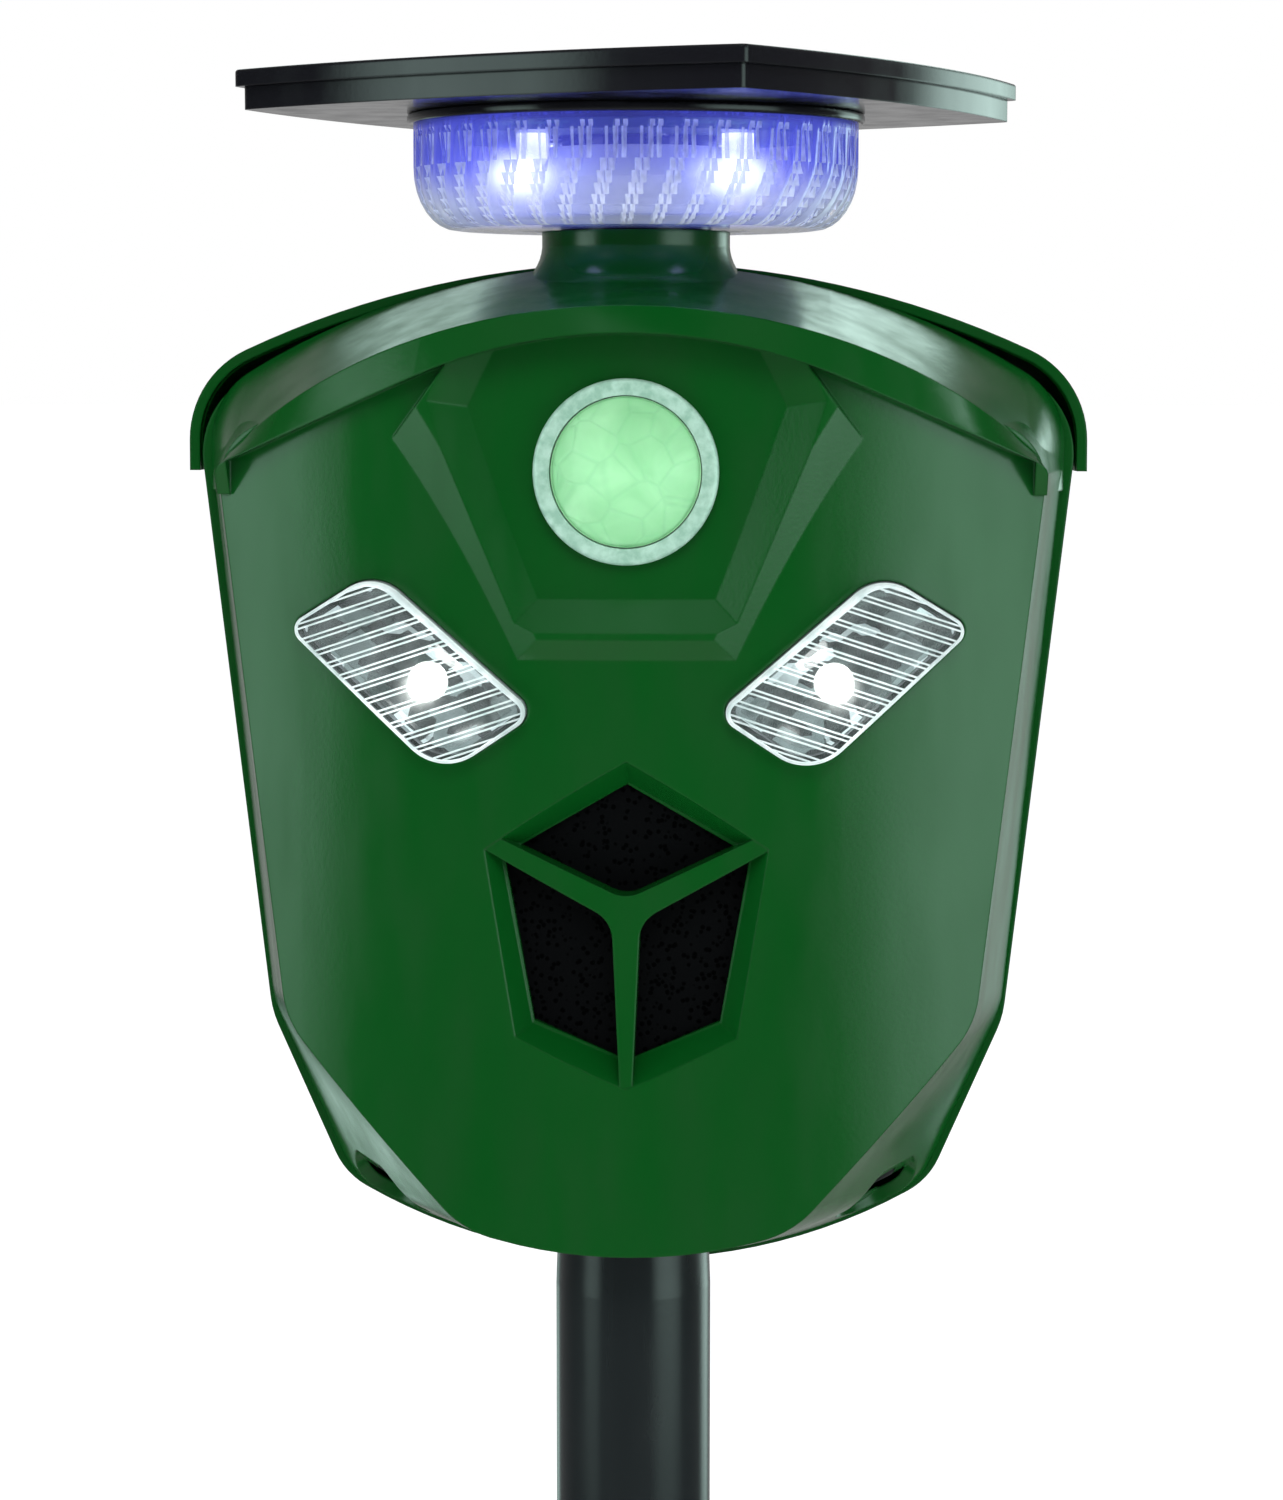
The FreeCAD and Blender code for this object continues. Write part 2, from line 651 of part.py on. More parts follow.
def port_screen():
    """Dark perforated insert at the bottom of a port."""
    axis = Vector(PORT_AXIS)
    axis.normalize()
    start = PORT_SPOT - axis * 3.0
    cup = Part.makeCylinder(PORT_R - 0.15, 1.0, start, axis)
    for i in range(6):
        turn = math.radians(60 * i)
        side = axis.cross(Vector(0, 1, 0))
        side.normalize()
        up = axis.cross(side)
        spot = start - axis + side * (2.6 * math.cos(turn)) + up * (2.6 * math.sin(turn))
        cup = cup.cut(Part.makeCylinder(0.7, 4.0, spot, axis))
    return cup.cut(Part.makeCylinder(0.7, 4.0, start - axis, axis))


SOCKET_R = 15.5


def boss(x, z, y_low, y_high, radius=3.6):
    return rod(radius, at(x, y_low, z), at(x, y_high, z))


def both_sides(make, spots):
    shapes = []
    for x, z in spots:
        shapes.append(make(x, z))
        shapes.append(make(-x, z))
    return shapes


def front_shell():
    brow = brow_cap().cut(under_brow().cut(drum(FACE_R)))
    outer = fuse([front_body(), brow, sensor_frame()])
    inner_body = front_body(WALL).cut(block(at(-100, -60, -12), at(100, 60, 40)))
    inner_cap = brow_cap(WALL).cut(under_brow(1.6).cut(drum(FACE_R - WALL)))
    floor_guard = sensor_guard()
    shell = outer.cut(inner_body.cut(floor_guard)).cut(inner_cap.cut(floor_guard))
    shell = shell.cut(sensor_pocket())
    shell = fuse([shell, beak_surround(), speaker_seat()])
    shell = fuse([shell, neck().common(block(at(-60, -60, -30), at(60, PARTING_Y, 30)))])
    shell = shell.cut(neck_bore()).cut(beak_cut())
    for lens in (eye_prism(GAP / 2, -45.0, 0.0), mirrored(eye_prism(GAP / 2, -45.0, 0.0))):
        shell = shell.cut(lens)
    shell = shell.cut(rod(PIR_RING_R - 1.3, at(0, -60, PIR_Z), at(0, 0, PIR_Z)))
    shell = shell.cut(cylinder(SOCKET_R + GAP, -180.0, -120.0))
    for piece in (port_scoop(), port_hole()):
        shell = shell.cut(piece).cut(mirrored(piece))
    bosses = both_sides(lambda x, z: boss(x, z, -14.0, PARTING_Y - 0.2), [SCREW_SPOTS[0]])
    bosses += both_sides(lambda x, z: boss(x, z, -19.0, PARTING_Y - 0.2), [SCREW_SPOTS[1]])
    inside = fuse([front_body(0.4), brow_cap(0.4)])
    shell = fuse([shell] + [b.common(inside) for b in bosses])
    for x, z in SCREW_SPOTS:
        for side in (-1, 1):
            shell = shell.cut(rod(1.3, at(side * x, -6.0, z), at(side * x, 20.0, z)))
    return shell.cut(groove_cut())


def sensor_guard():
    """Keeps a wall behind the sunk sensor floor."""
    slab = drum(FACE_R + FRAME_LIFT).cut(drum(FACE_R - FRAME_SINK - WALL))
    return slab.common(block(at(-34, -60, -60), at(34, 10, -12)))


def rear_envelope(inset=0.0):
    end = REAR_Y - inset
    solid = loft([outline_rear(PARTING_Y, inset), outline_rear(end, inset)])
    return round_rear(solid, end, REAR_ROUND - inset)


def wall_boss(x, z, depth, radius):
    """Round post standing on the inside of the rear wall."""
    return rod(radius, at(x, REAR_Y - WALL - depth, z), at(x, REAR_Y - 0.5, z))


def rear_shell():
    hollow = rear_envelope(WALL)
    mouth = plate(outline_rear(PARTING_Y - 1.0, WALL), 3.0)
    shell = rear_envelope().cut(hollow).cut(mouth)
    shell = shell.cut(cylinder(NECK_R + 5.3, -60.0, 20.0, 0.0, NECK_Y))
    shell = shell.cut(cylinder(SOCKET_R + GAP, -180.0, -120.0))
    for piece in (port_scoop(), port_hole()):
        shell = shell.cut(piece).cut(mirrored(piece))
    inside = rear_envelope(0.4)
    posts = both_sides(lambda x, z: boss(x, z, PARTING_Y + 0.2, REAR_Y, 4.6), SCREW_SPOTS)
    posts += [wall_boss(x, z, REAR_Y - WALL - BOARD_BACK, 3.0) for x, z in BOARD_SPOTS]
    posts += [wall_boss(side * HOOD_SCREW_X, HOOD_SCREW_Z, 6.0, 3.0) for side in (-1, 1)]
    posts += [wall_boss(0, DOOR_SCREW_Z, 6.0, 3.4)]
    shell = fuse([shell] + [p.common(inside) for p in posts])
    for x, z in SCREW_SPOTS:
        for side in (-1, 1):
            shell = shell.cut(rod(1.8, at(side * x, 0.0, z), at(side * x, 60.0, z)))
            shell = shell.cut(rod(3.4, at(side * x, SCREW_SEAT, z), at(side * x, 60.0, z)))
    for x, z in BOARD_SPOTS:
        shell = shell.cut(rod(1.05, at(x, 20.0, z), at(x, REAR_Y - 3.0, z)))
    for side in (-1, 1):
        shell = shell.cut(rod(1.25, at(side * HOOD_SCREW_X, 33.5, HOOD_SCREW_Z),
                              at(side * HOOD_SCREW_X, 60, HOOD_SCREW_Z)))
    # seat and opening of the battery door, its screw, the knob's bore and the charging port
    shell = shell.cut(door_outline(REAR_Y - DOOR_SEAT, GAP, 10.0))
    shell = shell.cut(plate(rounded_polygon(DOOR, DOOR_RADII, REAR_Y - 10.0, -3.0), 20.0))
    shell = shell.cut(rod(1.25, at(0, 33.0, DOOR_SCREW_Z), at(0, 60, DOOR_SCREW_Z)))
    shell = shell.cut(rod(SHAFT_R + 0.15, at(KNOB_X, 36, KNOB_Z), at(KNOB_X, 60, KNOB_Z)))
    shell = shell.cut(usb_port(0.0, 36.0, 50.0))
    shell = shell.cut(rod(1.5, at(STRAP_X, 36, USB_Z), at(STRAP_X, 60, USB_Z)))
    return shell


def door_outline(y, grow, thickness):
    """Battery door with a round tab at its top for the screw."""
    panel = plate(rounded_polygon(DOOR, DOOR_RADII, y, grow), thickness)
    tab = rod(5.0 + grow, at(0, y, DOOR_SCREW_Z), at(0, y + thickness, DOOR_SCREW_Z))
    return fuse([panel, tab])


def battery_door():
    top = REAR_Y - DOOR_SEAT
    door = door_outline(top + 0.2, 0.0, 1.7)
    for spot in (-16.0, 16.0):
        # locating rib inside the opening
        door = fuse([door, block(at(spot - 4, REAR_Y - WALL - 0.1, -138.7), at(spot + 4, top + 0.6, -137.2))])
    for i in range(5):
        z = -100.0 - 4.0 * i
        door = door.cut(rod(0.8, at(-9, REAR_Y + 0.2, z), at(9, REAR_Y + 0.2, z)))
    return door.cut(rod(1.6, at(0, 30, DOOR_SCREW_Z), at(0, 60, DOOR_SCREW_Z)))


def door_gasket():
    outer = plate(rounded_polygon(DOOR, DOOR_RADII, REAR_Y - DOOR_SEAT, -1.0), 0.2)
    inner = plate(rounded_polygon(DOOR, DOOR_RADII, REAR_Y - DOOR_SEAT - 1, -2.6), 3.0)
    return outer.cut(inner)


def pan_screw(radius, length, head_r, head_h):
    """Cross-head screw along -Y, with the underside of its head at y = 0."""
    shank = rod(radius, at(0, -length, 0), at(0, 0.01, 0))
    tip = Part.makeCone(0.2, radius, 1.4, at(0, -length - 1.4, 0), at(0, 1, 0))
    head = rod(head_r, at(0, 0, 0), at(0, head_h, 0))
    rim = [e for e in head.Edges if abs(e.BoundBox.YMin - head_h) < 1e-6 and e.BoundBox.XLength > 0.1]
    head = head.makeFillet(head_h * 0.45, rim)
    slot = head_r * 0.6
    for turn in (0, 90):
        bar = block(at(-slot, head_h * 0.45, -head_r * 0.13), at(slot, head_h + 1, head_r * 0.13))
        bar.rotate(at(0, 0, 0), at(0, 1, 0), turn)
        head = head.cut(bar)
    return fuse([shank, tip, head])


def shell_screws():
    screw = pan_screw(1.25, 26.0, 2.9, 2.0)
    spots = [(side * x, z) for x, z in SCREW_SPOTS for side in (-1, 1)]
    return Part.makeCompound([screw.translated(at(x, SCREW_SEAT, z)) for x, z in spots])


def hood_screws():
    screw = pan_screw(1.2, 8.0, 2.6, 1.8)
    return Part.makeCompound([screw.translated(at(side * HOOD_SCREW_X, HOOD_REAR_Y - 0.2, HOOD_SCREW_Z))
                              for side in (-1, 1)])


def door_screw():
    return pan_screw(1.2, 6.0, 2.6, 1.6).translated(at(0, REAR_Y + 0.2, DOOR_SCREW_Z))


def board_screws():
    screw = pan_screw(1.0, 5.0, 2.0, 1.3)
    screw.rotate(at(0, 0, 0), at(0, 0, 1), 180)
    return Part.makeCompound([screw.translated(at(x, BOARD_FRONT, z)) for x, z in BOARD_SPOTS])


def rear_hood():
    """Rain hood over the top of the rear moulding, with the rear half of the neck."""
    def envelope(inset):
        end = HOOD_REAR_Y - inset
        return round_rear(loft([outline_hood(PARTING_Y, inset), outline_hood(end, inset)]), end, 7.0 - inset)

    below = block(at(-120, -60, -200), at(120, 80, HOOD_LIP))
    mouth = plate(outline_hood(PARTING_Y - 1.0, HOOD_WALL), 3.0)
    hood = envelope(0.0).cut(below).cut(envelope(HOOD_WALL)).cut(mouth)
    half_neck = neck().common(block(at(-60, PARTING_Y + 0.05, -30), at(60, 60, 30)))
    hood = fuse([hood, half_neck]).cut(neck_bore())
    for side in (-1, 1):
        x = side * HOOD_SCREW_X
        hood = hood.cut(rod(1.5, at(x, 30, HOOD_SCREW_Z), at(x, 60, HOOD_SCREW_Z)))
        hood = hood.cut(rod(3.0, at(side * HOOD_SCREW_X, HOOD_REAR_Y - 0.2, HOOD_SCREW_Z),
                            at(side * HOOD_SCREW_X, 60, HOOD_SCREW_Z)))
    return hood


def shell_seal():
    """Soft seal round the joint, interrupted at the neck and at the pole socket."""
    outer = plate(outline_parting(PARTING_Y - 1.9, WALL + 1.5, top=(-5.4, 136.0)), 4.0)
    inner = plate(outline_parting(PARTING_Y - 3.0, WALL + 3.3, top=(-5.4, 136.0)), 6.0)
    seal = outer.cut(inner)
    seal = seal.cut(cylinder(NECK_R + 5.6, -60.0, 20.0, 0.0, NECK_Y))
    seal = seal.cut(cylinder(SOCKET_R + 2 * GAP, -180.0, -120.0))
    for piece in (port_hole(), port_scoop()):
        seal = seal.cut(piece).cut(mirrored(piece))
    for x, z in SCREW_SPOTS:
        for side in (-1, 1):
            seal = seal.cut(rod(5.0, at(side * x, -20, z), at(side * x, 60, z)))
    return seal


# ---- motion sensor ------------------------------------------------------------------------
def pir_ring():
    """White bezel that clamps the sensor's dome in the face."""
    def disc(radius, low, high):
        return rod(radius, at(0, low, PIR_Z), at(0, high, PIR_Z))

    front = disc(PIR_RING_R, FACE_Y - 0.4, FACE_Y + 2.2)
    rim = [e for e in front.Edges
           if abs(e.BoundBox.YMax - (FACE_Y - 0.4)) < 1e-6 and e.BoundBox.XLength > 0.1]
    front = front.makeFillet(0.8, rim).cut(drum(FACE_R - FRAME_SINK + 0.05))
    sleeve = disc(PIR_RING_R - 1.45, FACE_Y + 0.5, FACE_Y + 6.5)
    body = fuse([front, sleeve])
    return body.cut(disc(PIR_DOME_R + 0.15, FACE_Y - 5, FACE_Y + 20))


def pir_dome():
    """Domed cover of the motion sensor, milky and faceted, hollow inside."""
    base = FACE_Y + 0.6
    height = 6.4
    radius = (PIR_DOME_R ** 2 + height ** 2) / (2 * height)
    centre = at(0, base - height + radius, PIR_Z)
    cap = Part.makeSphere(radius, centre).cut(Part.makeSphere(radius - 0.8, centre))
    cap = cap.common(rod(PIR_DOME_R, at(0, base - height - 1, PIR_Z), at(0, base, PIR_Z)))
    skirt = rod(PIR_DOME_R, at(0, base - 0.3, PIR_Z), at(0, base + 4.5, PIR_Z))
    skirt = skirt.cut(rod(PIR_DOME_R - 0.8, at(0, base - 1, PIR_Z), at(0, base + 6, PIR_Z)))
    return fuse([cap, skirt])


def pir_sensor():
    """Metal-can detector behind the dome."""
    can = rod(4.1, at(0, -18.6, PIR_Z), at(0, -15.2, PIR_Z))
    flange = rod(4.6, at(0, -15.7, PIR_Z), at(0, -15.2, PIR_Z))
    window = block(at(-1.6, -19.5, PIR_Z - 1.2), at(1.6, -18.3, PIR_Z + 1.2))
    return fuse([can, flange]).cut(window)


def pir_board():
    return rod(12.0, at(0, -15.2, PIR_Z), at(0, -13.8, PIR_Z))


# ---- sound --------------------------------------------------------------------------------
SPEAKER_Z = -104.0
SPEAKER_R = 22.5


def speaker_mesh():
    """Fine dark mesh behind the sound opening, curved with the wall."""
    prism = plate(rounded_polygon(BEAK, [3.0] * 6, -40.0, 1.2), 40.0)
    back = FACE_R - BEAK_BACK - GAP
    mesh = prism.common(drum(back)).cut(drum(back - 0.7))
    return mesh.common(rod(SPEAKER_R - 0.2, at(0, -30, SPEAKER_Z), at(0, -10, SPEAKER_Z)))


def turned(profile):
    """Solid of revolution about the speaker's axis from (radius, y) points."""
    points = [at(r, y, SPEAKER_Z) for r, y in profile]
    wire = Part.makePolygon(points + points[:1])
    return Part.Face(wire).revolve(at(0, 0, SPEAKER_Z), at(0, 1, 0), 360)


def speaker_frame():
    return turned([(22.5, -16.4), (22.5, -14.6), (19.0, -13.4), (11.5, -6.0),
                   (11.5, -4.8), (2.0, -4.8), (2.0, -6.0),
                   (9.6, -6.0), (17.4, -14.2), (20.4, -15.2), (20.4, -16.4)])


def speaker_cone():
    return turned([(20.2, -16.2), (20.2, -15.5), (17.0, -14.6), (6.0, -9.6), (0.0, -11.4), (0.0, -12.0),
                   (6.0, -10.3), (17.0, -15.4)])


def speaker_magnet():
    return rod(10.5, at(0, -4.7, SPEAKER_Z), at(0, 2.0, SPEAKER_Z))


# ---- electronics --------------------------------------------------------------------------
def main_board():
    board = block(at(-42, BOARD_FRONT, -84.5), at(42, BOARD_BACK, -41.5))
    for x, z in BOARD_SPOTS:
        board = board.cut(rod(1.1, at(x, 20, z), at(x, 40, z)))
    return board


def chip(x, z, width, height, tall):
    return block(at(x - width / 2, BOARD_FRONT - tall, z - height / 2),
                 at(x + width / 2, BOARD_FRONT, z + height / 2))


def board_parts():
    """Microcontroller, driver, coil and capacitors on the board."""
    parts = [chip(-4, -62, 12, 12, 1.6), chip(16, -70, 6, 5, 1.5),
             chip(-22, -52, 9, 6, 1.8), chip(28, -52, 8, 5, 5.0)]
    cans = ((-28, -72, 4.0, 9.0), (-16, -76, 2.5, 7.0), (30, -72, 4.5, 6.0), (4, -49, 2.5, 6.0))
    for x, z, radius, tall in cans:
        parts.append(rod(radius, at(x, BOARD_FRONT - tall, z), at(x, BOARD_FRONT, z)))
    return Part.makeCompound(parts)


def rotary_switch():
    """Switch body on the back of the board, with a bush for the knob's shaft."""
    body = block(at(KNOB_X - 6, BOARD_BACK, KNOB_Z - 6), at(KNOB_X + 6, BOARD_BACK + 5.0, KNOB_Z + 6))
    bush = rod(4.4, at(KNOB_X, BOARD_BACK + 4, KNOB_Z), at(KNOB_X, BOARD_BACK + 7.2, KNOB_Z))
    bore = rod(SHAFT_R + RUNNING, at(KNOB_X, BOARD_BACK + 1.5, KNOB_Z), at(KNOB_X, 60, KNOB_Z))
    return fuse([body, bush]).cut(bore)


def mode_knob():
    """Pointer knob with a fluted skirt on its shaft."""
    low = REAR_Y + 0.4
    skirt = rod(10.0, at(KNOB_X, low, KNOB_Z), at(KNOB_X, low + 2.4, KNOB_Z))
    grip = rod(8.4, at(KNOB_X, low, KNOB_Z), at(KNOB_X, low + 8.4, KNOB_Z))
    rim = [e for e in grip.Edges if abs(e.BoundBox.YMin - low - 8.4) < 1e-6 and e.BoundBox.XLength > 0.1]
    grip = grip.makeFillet(0.8, rim)
    for i in range(18):
        a = math.radians(20.0 * i)
        spot = at(KNOB_X + 8.9 * math.cos(a), low + 2.8, KNOB_Z + 8.9 * math.sin(a))
        grip = grip.cut(rod(1.0, spot, spot + at(0, 10, 0)))
    mark = block(at(KNOB_X - 0.6, low + 8.0, KNOB_Z + 1.5), at(KNOB_X + 0.6, low + 9.0, KNOB_Z + 7.0))
    knob = fuse([skirt, grip]).cut(mark)
    shaft = rod(SHAFT_R, at(KNOB_X, BOARD_BACK + 1.8, KNOB_Z), at(KNOB_X, low + 1, KNOB_Z))
    return fuse([knob, shaft])


def usb_port(grow, low, high):
    w, h = 5.4 + grow, 2.4 + grow
    points = [(USB_X - w, USB_Z + h), (USB_X + w, USB_Z + h), (USB_X + w, USB_Z - h), (USB_X - w, USB_Z - h)]
    return plate(rounded_polygon(points, [2.0 + grow] * 4, low), high - low)


def usb_socket():
    """Charging socket on the board, facing the port."""
    shell = block(at(USB_X - 4.5, BOARD_BACK, USB_Z - 1.65),
                  at(USB_X + 4.5, REAR_Y - WALL + 0.4, USB_Z + 1.65))
    mouth = block(at(USB_X - 4.1, BOARD_BACK + 2, USB_Z - 1.25), at(USB_X + 4.1, 60, USB_Z + 1.25))
    tongue = block(at(USB_X - 3.2, BOARD_BACK + 1, USB_Z - 0.35),
                   at(USB_X + 3.2, REAR_Y - WALL - 0.6, USB_Z + 0.35))
    return fuse([shell.cut(mouth), tongue])


def usb_cover():
    """Soft cover: a plate with a plug that fills the port and a lip to lift it by."""
    low = REAR_Y + 0.2
    left, right, half = USB_X - 9.0, USB_X + 8.0, 5.4
    points = [(left, USB_Z + half), (right, USB_Z + half), (right, USB_Z - half), (left, USB_Z - half)]
    cover = plate(rounded_polygon(points, [3.0] * 4, low), 1.6)
    plug = usb_port(-0.5, REAR_Y - 1.4, low + 0.1)
    lip = block(at(USB_X - 9.6, low + 0.6, USB_Z - 2.5), at(USB_X - 8.0, low + 1.6, USB_Z + 2.5))
    return fuse([cover, plug, lip])


def usb_strap():
    """Fixed end of the soft cover, pressed into the rear wall."""
    pad = rod(2.6, at(STRAP_X, REAR_Y + 0.05, USB_Z), at(STRAP_X, REAR_Y + 1.4, USB_Z))
    stem = rod(1.4, at(STRAP_X, REAR_Y - WALL - 1.0, USB_Z), at(STRAP_X, REAR_Y + 0.2, USB_Z))
    barb = Part.makeCone(1.2, 2.0, 0.9, at(STRAP_X, REAR_Y - WALL - 1.9, USB_Z), at(0, 1, 0))
    return fuse([pad, stem, barb])


CELL_R = 7.1
CELL_Z = (-100.0, -115.2, -130.4)


def battery_holder():
    outer = block(at(-29.4, 20.6, -139.0), at(29.4, REAR_Y - WALL - 0.3, -91.4))
    hollow = block(at(-27.6, 22.2, -138.0), at(27.6, 60, -92.4))
    holder = outer.cut(hollow)
    for z in (CELL_Z[0] + CELL_Z[1]) / 2, (CELL_Z[1] + CELL_Z[2]) / 2:
        fin = block(at(-20, 22.1, z - 0.35), at(20, 28.0, z + 0.35))
        holder = fuse([holder, fin])
    return holder.common(rear_envelope(WALL + 0.2))


def battery_cells():
    cells = []
    for i, z in enumerate(CELL_Z):
        side = 1 if i % 2 == 0 else -1
        can = rod(CELL_R, at(-24.6, 30.2, z), at(24.6, 30.2, z))
        ends = [e for e in can.Edges if e.BoundBox.XLength < 1e-6]
        can = can.makeFillet(0.8, ends)
        nub = rod(2.7, at(side * 24.0, 30.2, z), at(side * 25.8, 30.2, z))
        cells.append(fuse([can, nub]))
    return Part.makeCompound(cells)


def battery_contacts():
    """Flat plate at one end of each cell and a coiled spring plate at the other."""
    parts = []
    for i, z in enumerate(CELL_Z):
        side = 1 if i % 2 == 0 else -1
        flat = block(at(-0.25, 24.5, z - 5), at(0.25, 36.0, z + 5))
        parts.append(flat.translated(at(side * 26.9, 0, 0)))
        cup = Part.makeCone(4.6, 2.4, 2.0, at(0, 30.2, z), at(1, 0, 0))
        cup = cup.cut(Part.makeCone(4.0, 1.8, 2.0, at(-0.01, 30.2, z), at(1, 0, 0)))
        plate_ = block(at(-0.5, 24.5, z - 5), at(0.0, 36.0, z + 5))
        spring = fuse([cup, plate_])
        if side > 0:
            parts.append(spring.translated(at(-26.9, 0, 0)))
        else:
            spring.rotate(at(0, 30.2, z), at(0, 0, 1), 180)
            parts.append(spring.translated(at(26.9, 0, 0)))
    return Part.makeCompound(parts)


# ---- swivelling head ----------------------------------------------------------------------
def about_neck(points):
    """Solid of revolution about the swivel axis from (radius, z) corners or ready edges."""
    wire = Part.makePolygon([at(r, 0, z) for r, z in points + points[:1]])
    solid = Part.Face(wire).revolve(at(0, 0, 0), at(0, 0, 1), 360)
    return solid.translated(at(0, NECK_Y, 0))


def lens_solid(inset):
    """Drum with a rounded, chamfered lower edge."""
    r, flat = LENS_R - inset, LENS_FLAT_R - 0.6 * inset
    low = LENS_BOTTOM + inset
    outline = Part.Wire([
        Part.LineSegment(at(0, 0, low), at(flat, 0, low)).toShape(),
        Part.Arc(at(flat, 0, low), at(flat + 4.5 * 0.93, 0, low + 3.7), at(r, 0, low + 9.6)).toShape(),
        Part.LineSegment(at(r, 0, low + 9.6), at(r, 0, LENS_TOP)).toShape(),
        Part.LineSegment(at(r, 0, LENS_TOP), at(0, 0, LENS_TOP)).toShape(),
        Part.LineSegment(at(0, 0, LENS_TOP), at(0, 0, low)).toShape(),
    ])
    solid = Part.Face(outline).revolve(at(0, 0, 0), at(0, 0, 1), 360)
    return solid.translated(at(0, NECK_Y, 0))


def beacon_lens():
    lens = lens_solid(0.0).cut(lens_solid(LENS_WALL).translated(at(0, 0, 0.01)))
    top = ring(LENS_R - 0.01, LENS_R - LENS_WALL, LENS_TOP - 1, LENS_TOP, 0, NECK_Y)
    return fuse([lens, top]).cut(cylinder(SPIGOT_R + 0.3, -5, 12, 0, NECK_Y))


def beacon_reflector():
    """White core that throws the beacon's light outwards."""
    bore = SPIGOT_R + 0.2
    return about_neck([(bore, 5.4), (14.0, 5.4), (16.5, 11.0), (14.6, 15.9), (bore, 15.9)])


def beacon_board():
    return ring(31.0, FLANGE_R + 0.5, 17.4, 19.0, 0, NECK_Y)


BEACON_LEDS = 4
BEACON_LED_RING = 22.5
BEACON_LED_TURN = 47.0    # turns the ring of LEDs so that two face forwards evenly


def beacon_leds():
    leds = []
    for i in range(BEACON_LEDS):
        a = math.radians(-90.0 + BEACON_LED_TURN + 360.0 * i / BEACON_LEDS)
        x, y = BEACON_LED_RING * math.cos(a), NECK_Y + BEACON_LED_RING * math.sin(a)
        body = cylinder(2.5, 14.4, 17.4, x, y)
        dome = Part.makeSphere(2.5, at(x, y, 14.4)).cut(block(at(x - 5, y - 5, 14.4), at(x + 5, y + 5, 20)))
        leds.append(fuse([body, dome]))
    return Part.makeCompound(leds)


def swivel_spigot():
    """Hollow trunnion under the head that turns in the neck; the wires run down inside."""
    tube = ring(SPIGOT_R, SPIGOT_BORE, -14.2, LENS_TOP - 0.5, 0, NECK_Y)
    flange = ring(FLANGE_R, SPIGOT_BORE, LENS_TOP - FLANGE_THICK, LENS_TOP, 0, NECK_Y)
    groove = ring(SPIGOT_R + 1, SPIGOT_R - 1.3, -12.3, -11.0, 0, NECK_Y)
    spigot = fuse([tube, flange]).cut(groove)
    for x, y in collar_screw_spots():
        spigot = spigot.cut(cylinder(1.05, LENS_TOP - 5, LENS_TOP + 1, x, y))
    return spigot


def swivel_clip():
    """Open retaining clip in the spigot's groove, below the neck."""
    clip = ring(14.4, SPIGOT_R - 1.25, -12.2, -11.1, 0, NECK_Y)
    return clip.cut(block(at(-3.0, NECK_Y + 5, -20), at(3.0, NECK_Y + 20, 0)))


def beacon_collar():
    """Dark round plate between the beacon and the panel."""
    plate_ = cylinder(COLLAR_R, LENS_TOP, TRAY_BOTTOM, 0, NECK_Y)
    edge = [e for e in plate_.Edges if e.BoundBox.ZLength < 1e-6]
    plate_ = plate_.makeFillet(0.5, edge).cut(cylinder(SPIGOT_BORE, 0, 40, 0, NECK_Y))
    for x, y in collar_screw_spots():
        plate_ = plate_.cut(cylinder(1.4, 0, 40, x, y))
    return plate_


def collar_screw_spots():
    spots = []
    for i in range(4):
        a = math.radians(PANEL_TURN + 90 * i)
        spots.append((COLLAR_SCREW_RING * math.cos(a), NECK_Y + COLLAR_SCREW_RING * math.sin(a)))
    return spots


def panel_wire(z, inset):
    """Square with bowed sides, turned to its rest angle, at height z."""
    r = PANEL_CORNER_R - inset * 1.3
    corners, middles = [], []
    for i in range(4):
        a = math.radians(-90.0 + PANEL_TURN + 90 * i)
        b = a + math.radians(45)
        out = (PANEL_CORNER_R * math.cos(math.radians(45))) + PANEL_BOW - inset
        corners.append(at(r * math.cos(a), NECK_Y + r * math.sin(a), z))
        middles.append(at(out * math.cos(b), NECK_Y + out * math.sin(b), z))
    edges = [Part.Arc(corners[i], middles[i], corners[(i + 1) % 4]).toShape() for i in range(4)]
    return Part.Wire(edges)


def slab(low, high, inset, corner=1.5):
    """Bowed square plate with rounded corners."""
    solid = Part.Face(panel_wire(low, inset)).extrude(at(0, 0, high - low))
    upright = [e for e in solid.Edges if abs(e.BoundBox.ZLength - (high - low)) < 1e-6]
    return solid.makeFillet(corner, upright)


def panel_tray():
    """Shallow dish under the solar panel."""
    tray = slab(TRAY_BOTTOM, TRAY_TOP, TRAY_INSET)
    tray = tray.cut(slab(TRAY_BOTTOM + 1.5, TRAY_TOP + 1, TRAY_INSET + 2.0))
    tray = tray.cut(cylinder(SPIGOT_BORE, 0, 40, 0, NECK_Y))
    bosses = []
    for x, y in collar_screw_spots():
        bosses.append(cylinder(2.8, TRAY_BOTTOM + 1, TRAY_TOP - 0.4, x, y))
    tray = fuse([tray] + bosses)
    for x, y in collar_screw_spots():
        tray = tray.cut(cylinder(1.0, 0, TRAY_TOP - 1.2, x, y))
    return tray


def panel_rim():
    """Glossy frame that holds the glass, overhanging the tray all round."""
    rim = slab(TRAY_TOP, RIM_TOP, 0.0)
    top = [e for e in rim.Edges if abs(e.BoundBox.ZMin - RIM_TOP) < 1e-6]
    rim = rim.makeFillet(0.5, top)
    rim = rim.cut(slab(RIM_TOP - 1.3, RIM_TOP + 1, 3.4))
    return rim.cut(slab(TRAY_TOP - 1, RIM_TOP + 1, 5.4))


def solar_glass():
    return slab(RIM_TOP - 1.25, RIM_TOP - 0.05, 3.6)


